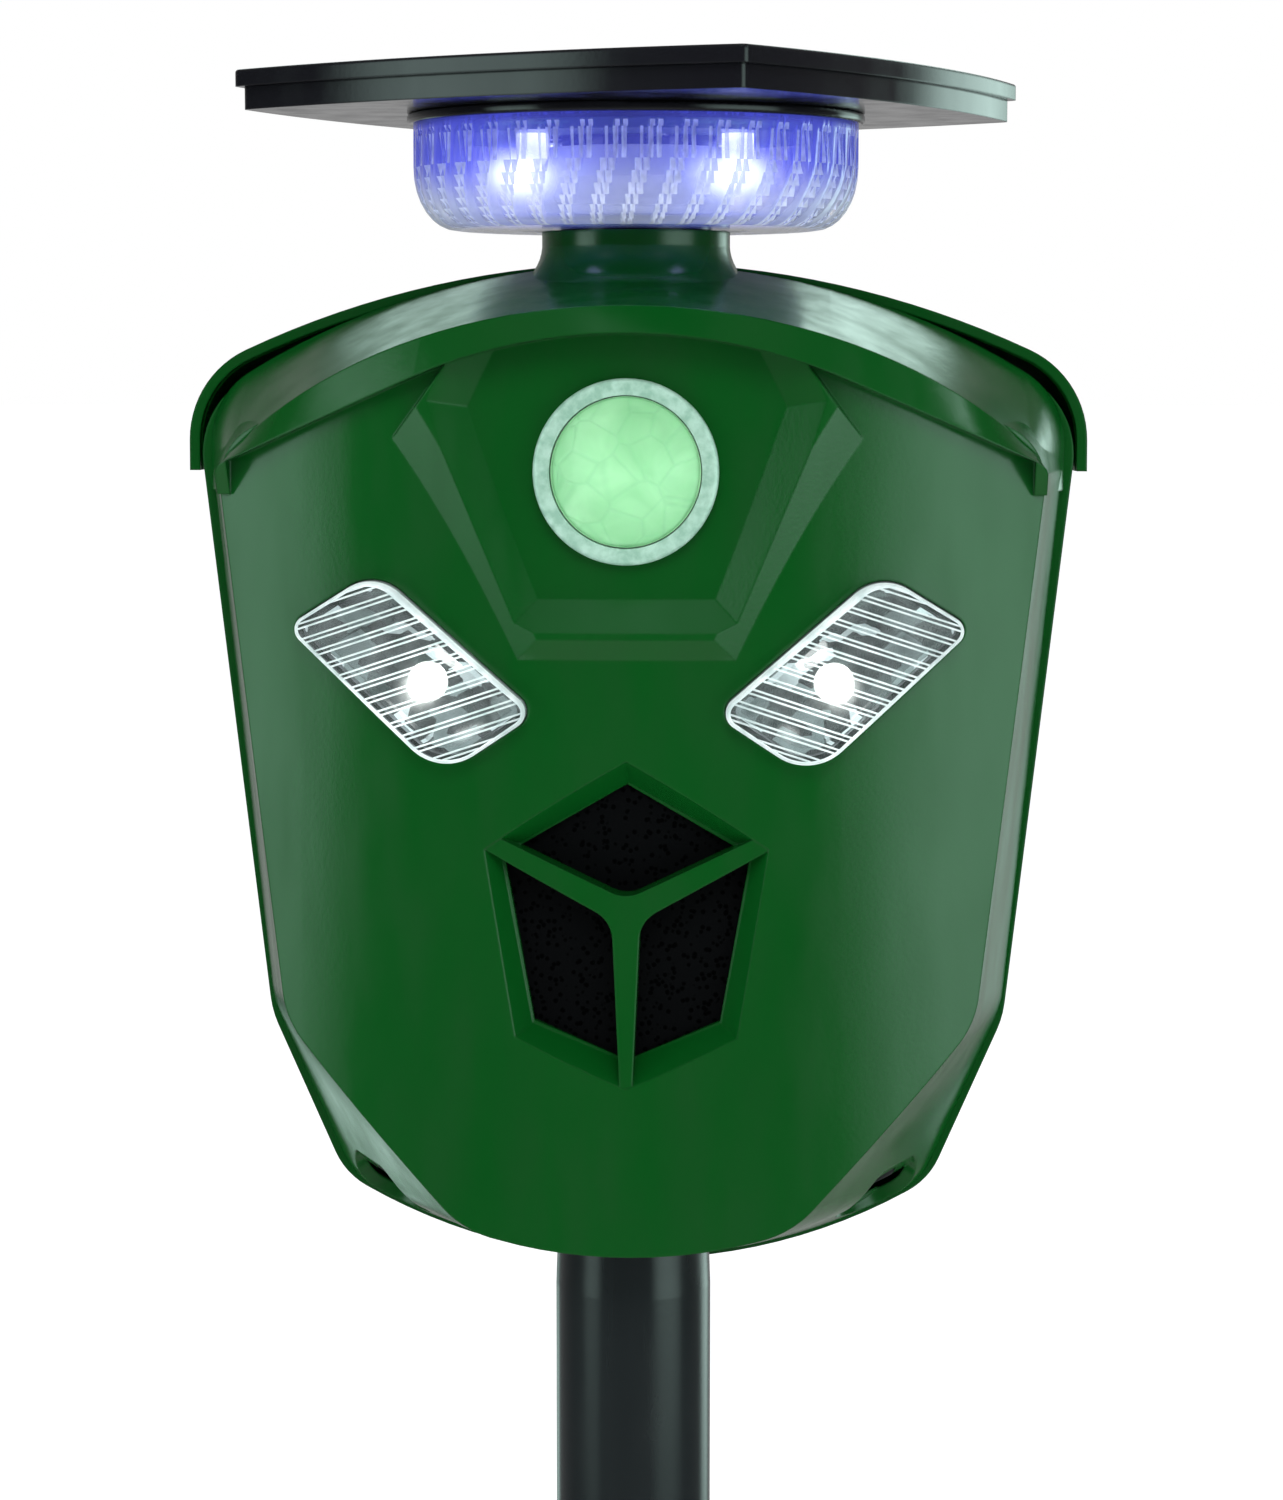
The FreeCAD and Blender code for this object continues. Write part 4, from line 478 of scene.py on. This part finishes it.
def beacon_white():
    s = moulded("beacon_white", (0.70, 0.72, 0.80), 0.35, tint=0.05)
    # painted glow: faint blue-violet emission on the white core for the LED light falling on it
    s.put(Emission_Color=(0.35, 0.38, 1.0, 1.0), Emission_Strength=0.12)
    return s.material


def head_black():
    """Polished black tray and rim, with faint waviness that breaks up the reflections."""
    return moulded("head_black", (0.0065, 0.0065, 0.0085), 0.13, grain=1500.0, grain_depth=0.00001).material


def solar_cell():
    """Dark blue cells with grain, fine fingers and silver busbars."""
    s = Shader("solar_cell")
    turned = s.stretch((1.0, 1.0, 1.0), turn=(0, 0, -PANEL_ANGLE))
    fingers = s.waves(420.0, turned)
    bars = s.waves(16.5, turned)
    busbar = s.math("GREATER_THAN", bars, 0.985)
    finger = s.math("GREATER_THAN", fingers, 0.93)
    grain = s.cells(240.0, output="Color", where=turned)
    level = s.add("ShaderNodeSeparateColor")
    s.join(grain, level.inputs["Color"])
    silicon = s.mix(level.outputs["Red"], (0.004, 0.007, 0.030), (0.010, 0.018, 0.070))
    lined = s.mix(s.math("MULTIPLY", finger, 0.35), silicon, (0.35, 0.37, 0.42))
    s.feed(s.mix(busbar, lined, (0.62, 0.63, 0.65)), "Base Color")
    s.put(Metallic=0.35)
    s.feed(s.span(level.outputs["Green"], 0.2, 0.36), "Roughness")
    s.feed(s.bump(s.math("ADD", busbar, finger), 0.00004, 0.5), "Normal")
    return s.material


def solar_glass():
    """Tempered cover with a fine pebbled surface."""
    s = Shader("solar_glass")
    s.put(Base_Color=(0.50, 0.58, 0.66, 1.0), IOR=1.5)
    weight = s.add("ShaderNodeLayerWeight")
    weight.inputs["Blend"].default_value = 0.3
    s.feed(s.span(weight.outputs["Facing"], 0.10, 0.7, 0.2, 0.95), "Alpha")
    pebbles = s.noise(900.0, 2.0)
    s.feed(s.span(pebbles, 0.04, 0.12), "Roughness")
    s.feed(s.bump(pebbles, 0.00003, 0.5), "Normal")
    return s.material


def pole_paint():
    """Glossy powder coat on steel tube, with faint drawing lines and scuffs."""
    s = Shader("pole_paint")
    drawn = s.noise(420.0, 3.0, where=s.stretch((1.0, 1.0, 0.03)))
    s.feed(s.mix(drawn, (0.0085, 0.0110, 0.0120), (0.0140, 0.0175, 0.0185)), "Base Color")
    scuff = s.span(s.noise(70.0, 5.0, where=s.stretch((1.0, 1.0, 0.4))), 0.0, 1.0, 0.55, 0.75)
    s.feed(s.math("ADD", s.math("MULTIPLY", scuff, 0.12), 0.20), "Roughness")
    s.feed(s.bump(s.noise(1100.0, 2.0), 0.00002, 0.4, s.soft_edges(0.0003)), "Normal")
    return s.material


def pole_black():
    return moulded("pole_black", (0.012, 0.013, 0.014), 0.38, grain=1000.0, grain_depth=0.00004).material


MAKERS = {
    "green_gloss": green_gloss, "clear_lens": clear_lens, "chrome_tray": chrome_tray,
    "silver_ring": silver_ring, "dome_white": dome_white, "sensor_can": sensor_can,
    "dark_mesh": dark_mesh, "speaker_steel": speaker_steel, "speaker_paper": speaker_paper,
    "speaker_paint": speaker_paint, "board_green": board_green, "board_white": board_white,
    "part_black": part_black, "led_white": led_white, "screw_steel": screw_steel,
    "contact_steel": contact_steel, "cell_sleeve": cell_sleeve, "rubber_black": rubber_black,
    "knob_black": knob_black, "beacon_clear": beacon_clear, "beacon_white": beacon_white,
    "head_black": head_black, "solar_cell": solar_cell, "solar_glass": solar_glass,
    "pole_paint": pole_paint, "pole_black": pole_black,
}


def dress_nodes():
    """Gives every CAD node the material of its slot in the record."""
    made = {slot: maker() for slot, maker in MAKERS.items()}
    for entry in frame["record"]["subparts"]:
        data = frame["nodes"][entry["node"]].data
        data.materials.clear()
        data.materials.append(made[entry["material_slot"]])
    return made


# ---- pieces built here --------------------------------------------------------------------
def new_mesh(name, points, faces, material, smooth=True):
    data = bpy.data.meshes.new(name)
    data.from_pydata(points, [], faces)
    data.update()
    for polygon in data.polygons:
        polygon.use_smooth = smooth
    data.materials.append(material)
    piece = bpy.data.objects.new(name, data)
    bpy.context.scene.collection.objects.link(piece)
    return piece


def drum_point(x, z, lift):
    """Point on the face's drum, raised by lift. z counts from the foot of the neck."""
    return (x, FACE_AXIS_Y - math.sqrt((FACE_RADIUS + lift) ** 2 - x * x), LEVEL + z)


def rounded_outline(corners, radii, steps=10):
    """Closed outline with an arc at each corner."""
    outline = []
    count = len(corners)
    for i in range(count):
        before, here, after = (Vector(corners[j % count]) for j in (i - 1, i, i + 1))
        u, v = (before - here).normalized(), (after - here).normalized()
        half = math.acos(max(-1.0, min(1.0, u.dot(v)))) / 2
        reach = radii[i] / math.tan(half)
        centre = here + (u + v).normalized() * (radii[i] / math.sin(half))
        start, end = here + u * reach, here + v * reach
        first, last = start - centre, end - centre
        sweep = first.angle_signed(last)
        for k in range(steps + 1):
            a = -sweep * k / steps
            outline.append(centre + Vector((first.x * math.cos(a) - first.y * math.sin(a),
                                            first.x * math.sin(a) + first.y * math.cos(a))))
    return outline


def inward(outline, distances):
    """The outline moved inwards at each point by its own distance."""
    centre = sum(outline, Vector((0, 0))) / len(outline)
    moved = []
    count = len(outline)
    for i, here in enumerate(outline):
        along = (outline[(i + 1) % count] - outline[i - 1]).normalized()
        normal = Vector((-along.y, along.x))
        if normal.dot(centre - here) < 0:
            normal = -normal
        moved.append(here + normal * distances[i])
    return moved


def spans_inside(outline, origin, direction):
    """Where the line through origin crosses the outline, as distances along it."""
    hits = []
    normal = Vector((-direction.y, direction.x))
    count = len(outline)
    for i in range(count):
        a, b = outline[i], outline[(i + 1) % count]
        da, db = (a - origin).dot(normal), (b - origin).dot(normal)
        if da * db < 0:
            hit = a + (b - a) * (da / (da - db))
            hits.append((hit - origin).dot(direction))
    return (min(hits), max(hits)) if len(hits) >= 2 else None


RIB_SLOPE = math.radians(-19.0)      # ribs of the right eye fall towards its outer side
RIB_PITCH = 0.00235
RIB_PAIR = 0.00070
RIB_WIDTH = 0.00030
RIB_HEIGHT = 0.00030
RIB_INSET = 0.0005                   # between a rib's end and the lens's edge
RIB_STEPS = 14
RIB_SECTION = [(-0.5, -0.3), (-0.36, 0.62), (0.0, 1.0), (0.36, 0.62), (0.5, -0.3)]


def eye_ribs(side, material):
    """Pairs of thin raised ribs across one eye's lens. side is 1 on the right, -1 on the left."""
    edge = rounded_outline(EYE, EYE_RADII)
    outline = inward(edge, [RIB_INSET] * len(edge))
    direction = Vector((math.cos(RIB_SLOPE), math.sin(RIB_SLOPE)))
    across = Vector((-direction.y, direction.x))
    centre = sum(outline, Vector((0, 0))) / len(outline)
    points, faces = [], []
    for pair in range(-8, 9):
        for offset in (-RIB_PAIR / 2, RIB_PAIR / 2):
            origin = centre + across * (pair * RIB_PITCH + offset)
            found = spans_inside(outline, origin, direction)
            if found is None or found[1] - found[0] < 0.002:
                continue
            add_rib(points, faces, origin, direction, across, found, side)
    name = "eye_ribs_right" if side > 0 else "eye_ribs_left"
    return new_mesh(name, points, faces, material)


def add_rib(points, faces, origin, direction, across, found, side):
    """One rib along the line between the two distances found, lower at both ends."""
    first = len(points)
    width = len(RIB_SECTION)
    for k in range(RIB_STEPS + 1):
        middle = origin + direction * (found[0] + (found[1] - found[0]) * k / RIB_STEPS)
        taper = 1.0 if 0 < k < RIB_STEPS else 0.25
        for shift, lift in RIB_SECTION:
            spot = middle + across * (shift * RIB_WIDTH)
            x, y, z = drum_point(spot.x, spot.y, EYE_LIFT + lift * RIB_HEIGHT * taper)
            points.append((side * x, y, z))
    for k in range(RIB_STEPS):
        for j in range(width - 1):
            a = first + k * width + j
            faces.append((a, a + 1, a + width + 1, a + width))


RIM_SECTION = [(0.0, -1.2), (0.04, 0.55), (0.25, 0.95), (0.6, 0.85), (0.9, 0.35), (1.0, -0.4)]
RIM_LIFT = 0.00055
RIM_NARROW = 0.0005
RIM_BROADER = 0.0017                 # how much broader the rim gets along the upper side


def eye_rim(side, material):
    """Thick clear edge of one eye's lens, broadest along its upper side."""
    outline = rounded_outline(EYE, EYE_RADII, 14)
    upper = Vector((-0.64, 0.77))
    centre = sum(outline, Vector((0, 0))) / len(outline)
    widths = []
    for spot in outline:
        towards = max(0.0, (spot - centre).normalized().dot(upper))
        widths.append(RIM_NARROW + RIM_BROADER * towards ** 2)
    points, faces = [], []
    count, width = len(outline), len(RIM_SECTION)
    loops = [inward(outline, [0.00005 + w * inset for w in widths]) for inset, lift in RIM_SECTION]
    for i in range(count):
        for loop, (inset, lift) in zip(loops, RIM_SECTION):
            x, y, z = drum_point(loop[i].x, loop[i].y, EYE_LIFT + lift * RIM_LIFT)
            points.append((side * x, y, z))
    for i in range(count):
        for j in range(width - 1):
            a, b = i * width + j, ((i + 1) % count) * width + j
            faces.append((a, a + 1, b + 1, b))
    name = "eye_rim_right" if side > 0 else "eye_rim_left"
    return new_mesh(name, points, faces, material)


LENS_RADIUS = 0.0354
LENS_FLAT = 0.0288
LENS_LOW = 0.0031
LENS_HIGH = 0.0196
LENS_WALL = 0.0016
PRISM_PAIRS = 42
PRISM_DEPTH = 0.0010
PRISM_LEAN = math.radians(9.0)       # how far each prism turns round the drum over its height
GROOVES = (0.32, 0.56)               # the two grooves of a pair, as shares of its pitch
GROOVE_HALF = 0.095
COLUMNS_PER_PAIR = 21
LENS_BORE = 0.0123


def lens_profile():
    """(radius, height, share of prism depth) from the inner edge of the floor up to the top."""
    profile = [(LENS_BORE, LENS_LOW, 0.0), (0.0200, LENS_LOW, 0.0), (0.0262, LENS_LOW, 0.0),
               (LENS_FLAT - 0.0012, LENS_LOW, 0.4)]
    for k in range(9):
        a = math.radians(90.0 * k / 8)
        radius = LENS_FLAT + (LENS_RADIUS - LENS_FLAT) * math.sin(a)
        profile.append((radius, LENS_LOW + 0.0096 * (1.0 - math.cos(a)), 1.0))
    profile.append((LENS_RADIUS, LENS_HIGH - 0.0022, 1.0))
    profile.append((LENS_RADIUS, LENS_HIGH - 0.0012, 0.0))
    profile.append((LENS_RADIUS, LENS_HIGH, 0.0))
    return profile


def prism_wave(turn):
    """Depth of two narrow grooves side by side in each pitch, 0 to 1."""
    t = turn - math.floor(turn)
    depth = 0.0
    for middle in GROOVES:
        away = abs(t - middle) / GROOVE_HALF
        if away < 1.0:
            depth = max(depth, 1.0 - away)
    return depth


def beacon_edge():
    """Steep flanks of the beacon's prisms, with the light of the LEDs painted on: a blue tint towards the top
    and glowing flecks.
    """
    s = Shader("beacon_edge")
    height = s.span(s.axis("Z"), 0.0, 1.0, LEVEL + 0.004, LEVEL + 0.016, smooth=True)
    painted_glow_flecks = s.noise(700.0, 2.0)
    # painted light: blue tint of the LEDs' light, deeper towards the top
    s.feed(s.mix(height, (0.70, 0.74, 0.90), (0.22, 0.25, 0.72)), "Base Color")
    # painted glow in flecks along the flanks
    s.feed(s.mix(height, (0.62, 0.68, 1.0), (0.42, 0.46, 1.0)), "Emission Color")
    s.feed(s.span(painted_glow_flecks, 0.10, 0.34, 0.3, 0.7), "Emission Strength")
    s.feed(s.span(painted_glow_flecks, 0.55, 0.9), "Alpha")
    s.put(Roughness=0.12)
    s.feed(s.bump(painted_glow_flecks, 0.00003, 0.4), "Normal")
    return s.material


def beacon_prisms(material, edge_material):
    """Drum lens of the beacon, with pairs of slanted prisms moulded round it and a wall of real thickness."""
    columns = PRISM_PAIRS * COLUMNS_PER_PAIR
    profile = lens_profile()
    inner = [(r - LENS_WALL, z + LENS_WALL, 0.0) for r, z, share in profile[2:-1]]
    inner = [(LENS_BORE, LENS_LOW + LENS_WALL, 0.0)] + inner + [(LENS_RADIUS - LENS_WALL, LENS_HIGH, 0.0)]
    rows = profile + inner[::-1]
    points, faces, depths, flanks = [], [], [], []
    for i in range(columns):
        turn = 2 * math.pi * i / columns
        for radius, z, share in rows:
            lean = PRISM_LEAN * (z - LENS_LOW) / (LENS_HIGH - LENS_LOW)
            depth = share * prism_wave((turn - lean) * PRISM_PAIRS / (2 * math.pi))
            r = radius - depth * PRISM_DEPTH
            depths.append(depth)
            points.append((r * math.cos(turn), NECK_Y + r * math.sin(turn), LEVEL + z))
    count = len(rows)
    for i in range(columns):
        for j in range(count):
            a, b = i * count, ((i + 1) % columns) * count
            k = (j + 1) % count
            faces.append((a + j, b + j, b + k, a + k))
            flanks.append(depths[a + j] + depths[b + k] > 0.3)
    lens = new_mesh("beacon_prisms", points, faces, material)
    lens.data.materials.append(edge_material)
    for polygon, steep in zip(lens.data.polygons, flanks):
        polygon.material_index = int(steep)
    return lens


def knob_scale():
    """Five plain painted marks round the mode knob, a hair proud of the shell."""
    s = moulded("scale_paint", (0.70, 0.73, 0.70), 0.5, tint=0.06, edge=0.0)
    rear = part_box("rear_shell")[1].y
    points, faces = [], []
    for i in range(5):
        a = math.radians(-120.0 + 60.0 * i)
        out = Vector((math.sin(a), math.cos(a)))
        side = Vector((out.y, -out.x)) * 0.0004
        near, far = out * 0.0125, out * 0.0150
        first = len(points)
        for spot in (near - side, near + side, far + side, far - side):
            for lift in (-0.0002, 0.0001):
                points.append((KNOB[0] + spot.x, rear + lift, KNOB[1] + spot.y))
        for quad in ((1, 3, 5, 7), (0, 2, 3, 1), (2, 4, 5, 3), (4, 6, 7, 5), (6, 0, 1, 7)):
            faces.append(tuple(first + q for q in quad))
    return new_mesh("knob_scale", points, faces, s.material, smooth=False)


# ---- stage, light and camera --------------------------------------------------------------
def floor():
    s = Shader("floor_paint")
    shade = s.noise(0.6, 2.0)
    s.feed(s.mix(shade, (0.88, 0.89, 0.89), (0.92, 0.93, 0.93)), "Base Color")
    s.put(Roughness=0.9, Emission_Color=(1.0, 1.0, 1.0, 1.0), Emission_Strength=0.62)
    size, low = 30.0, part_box("ground_spike")[0].z - 0.002
    corners = [(-size, -size, low), (size, -size, low), (size, size, low), (-size, size, low)]
    plane = new_mesh("floor", corners, [(0, 1, 2, 3)], s.material, smooth=False)
    plane.visible_glossy = False


TARGET = Vector((0.0, 0.01, 0.29))
CARD_DISTANCE = 1.5
CARD_TINT = (0.74, 1.0, 0.93)
SOFT = [(0.0, 0.0), (0.3, 1.0), (0.7, 1.0), (1.0, 0.0)]


def from_target(azimuth, elevation, distance):
    a, e = math.radians(azimuth), math.radians(elevation)
    return TARGET + distance * Vector((math.sin(a) * math.cos(e), -math.cos(a) * math.cos(e), math.sin(e)))


def softbox(name, azimuth, elevation, half_width, half_height, strength, stops=None, lit=False):
    """Soft-edged card, sized by the angles it fills. It shows in reflections and, if lit, lights the object.

    stops gives its brightness across, towards greater azimuth."""
    s = Shader(name)
    glow = s.add("ShaderNodeEmission")
    glow.inputs["Color"].default_value = (*CARD_TINT, 1.0)
    generated = s.add("ShaderNodeTexCoord").outputs["Generated"]
    split = s.add("ShaderNodeSeparateXYZ")
    s.join(generated, split.inputs["Vector"])
    profile = s.ramp(split.outputs["X"], [(spot, (v, v, v)) for spot, v in stops or SOFT])
    fade = s.ramp(split.outputs["Y"], [(spot, (v, v, v)) for spot, v in SOFT])
    level = s.math("MULTIPLY", profile, fade)
    s.join(s.math("MULTIPLY", level, strength), glow.inputs["Strength"])
    s.join(glow.outputs["Emission"], s.tree.nodes["Material Output"].inputs["Surface"])
    w = CARD_DISTANCE * math.tan(math.radians(half_width))
    h = CARD_DISTANCE * math.tan(math.radians(half_height))
    card = new_mesh(name, [(-w, -h, 0), (w, -h, 0), (w, h, 0), (-w, h, 0)], [(0, 1, 2, 3)], s.material, False)
    card.location = from_target(azimuth, elevation, CARD_DISTANCE)
    card.rotation_euler = (TARGET - card.location).to_track_quat("-Z", "Y").to_euler()
    card.visible_camera = False
    card.visible_diffuse = lit
    card.visible_shadow = False


def lamp(name, azimuth, elevation, distance, size, power):
    """Round soft lamp that lights the object without showing in its reflections."""
    data = bpy.data.lights.new(name, "AREA")
    data.shape = "DISK"
    data.size = size
    data.energy = power
    light = bpy.data.objects.new(name, data)
    bpy.context.scene.collection.objects.link(light)
    place = from_target(azimuth, elevation, distance)
    light.location = place
    light.rotation_euler = (TARGET - place).to_track_quat("-Z", "Y").to_euler()
    light.visible_camera = False
    light.visible_glossy = False


def studio():
    softbox("card_left", -61.0, 4.0, 15.0, 28.0, 2.5,
            [(0.0, 0.4), (0.3, 1.0), (0.78, 0.85), (0.95, 0.4), (1.0, 0.0)], lit=True)
    softbox("card_right", 54.0, -4.0, 24.0, 21.0, 2.6,
            [(0.0, 0.0), (0.12, 0.5), (0.28, 0.95), (0.6, 1.0), (0.9, 0.7), (1.0, 0.0)], lit=True)
    softbox("card_right_high", 73.0, 29.0, 9.0, 9.0, 3.0)
    softbox("card_back_right", 137.0, -2.0, 17.0, 29.0, 3.0)
    softbox("card_crown_right", 166.0, 27.0, 9.0, 8.0, 2.8)
    softbox("card_crown_left", -166.0, 23.0, 9.0, 8.0, 1.3)
    softbox("card_low_left", -152.0, -24.0, 12.0, 10.0, 1.15)
    softbox("card_top", 0.0, 76.0, 18.0, 18.0, 0.8, lit=True)
    lamp("key", 5.0, 40.0, 1.6, 0.9, 13.0)
    lamp("fill", -4.0, 8.0, 1.7, 1.2, 1.6)


def world():
    """White to the eye; in reflections dark in front, brighter above, below and behind."""
    scene_world = bpy.data.worlds.new("studio")
    bpy.context.scene.world = scene_world
    scene_world.use_nodes = True
    tree = scene_world.node_tree
    new = tree.nodes.new
    join = tree.links.new
    path = new("ShaderNodeLightPath")
    generated = new("ShaderNodeTexCoord").outputs["Generated"]
    split = new("ShaderNodeSeparateXYZ")
    join(generated, split.inputs["Vector"])

    def level(source, stops):
        shift = new("ShaderNodeMapRange")
        shift.inputs["From Min"].default_value = -1.0
        join(source, shift.inputs["Value"])
        ramp = new("ShaderNodeValToRGB")
        elements = ramp.color_ramp.elements
        while len(elements) < len(stops):
            elements.new(0.5)
        for element, (spot, value) in zip(elements, stops):
            element.position = spot
            element.color = (value, value, value, 1.0)
        join(shift.outputs["Result"], ramp.inputs["Fac"])
        return ramp.outputs["Color"]

    height = level(split.outputs["Z"],
                   [(0.0, 0.35), (0.22, 0.2), (0.36, 0.01), (0.6, 0.01), (0.8, 0.06), (1.0, 0.2)])
    behind = level(split.outputs["Y"], [(0.0, 0.0), (0.5, 0.0), (0.75, 0.16), (1.0, 0.42)])
    both = new("ShaderNodeMix")
    both.data_type = "RGBA"
    both.blend_type = "LIGHTEN"
    both.inputs[0].default_value = 1.0
    join(height, both.inputs[6])
    join(behind, both.inputs[7])
    mixed = new("ShaderNodeMix")
    mixed.data_type = "RGBA"
    join(path.outputs["Is Glossy Ray"], mixed.inputs[0])
    mixed.inputs[6].default_value = (0.48, 0.49, 0.50, 1.0)
    join(both.outputs[2], mixed.inputs[7])
    final = new("ShaderNodeMix")
    final.data_type = "RGBA"
    join(path.outputs["Is Camera Ray"], final.inputs[0])
    join(mixed.outputs[2], final.inputs[6])
    final.inputs[7].default_value = (1.0, 1.0, 1.0, 1.0)
    join(final.outputs[2], tree.nodes["Background"].inputs["Color"])


CAMERA_TURN = math.radians(2.5)      # the camera stands this far to the right of the front
CAMERA_TILT = math.radians(6.53)     # and looks down by this much
CAMERA_DISTANCE = 0.5635             # from the swivel axis
CAMERA_LEVEL = LEVEL - 0.01595


def camera():
    data = bpy.data.cameras.new("camera")
    data.sensor_fit = "VERTICAL"
    data.sensor_height = 36.0
    data.lens = 83.78
    data.shift_x = 0.003667
    eye = bpy.data.objects.new("camera", data)
    bpy.context.scene.collection.objects.link(eye)
    across, along = CAMERA_DISTANCE * math.sin(CAMERA_TURN), CAMERA_DISTANCE * math.cos(CAMERA_TURN)
    eye.location = (across, NECK_Y - along, CAMERA_LEVEL)
    eye.rotation_euler = (math.radians(90.0) - CAMERA_TILT, 0.0, CAMERA_TURN)
    bpy.context.scene.camera = eye


def main():
    materials = dress_nodes()
    clear = rib_clear()
    for side in (1, -1):
        for piece in (eye_ribs(side, clear), eye_rim(side, clear)):
            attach(piece, "housing")
    lens = beacon_prisms(materials["beacon_clear"], beacon_edge())
    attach(lens, "solar_head")
    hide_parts("beacon_lens")
    marks = knob_scale()
    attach(marks, "housing")
    floor()
    studio()
    world()
    camera()
    bpy.context.scene.view_settings.view_transform = "Standard"


main()
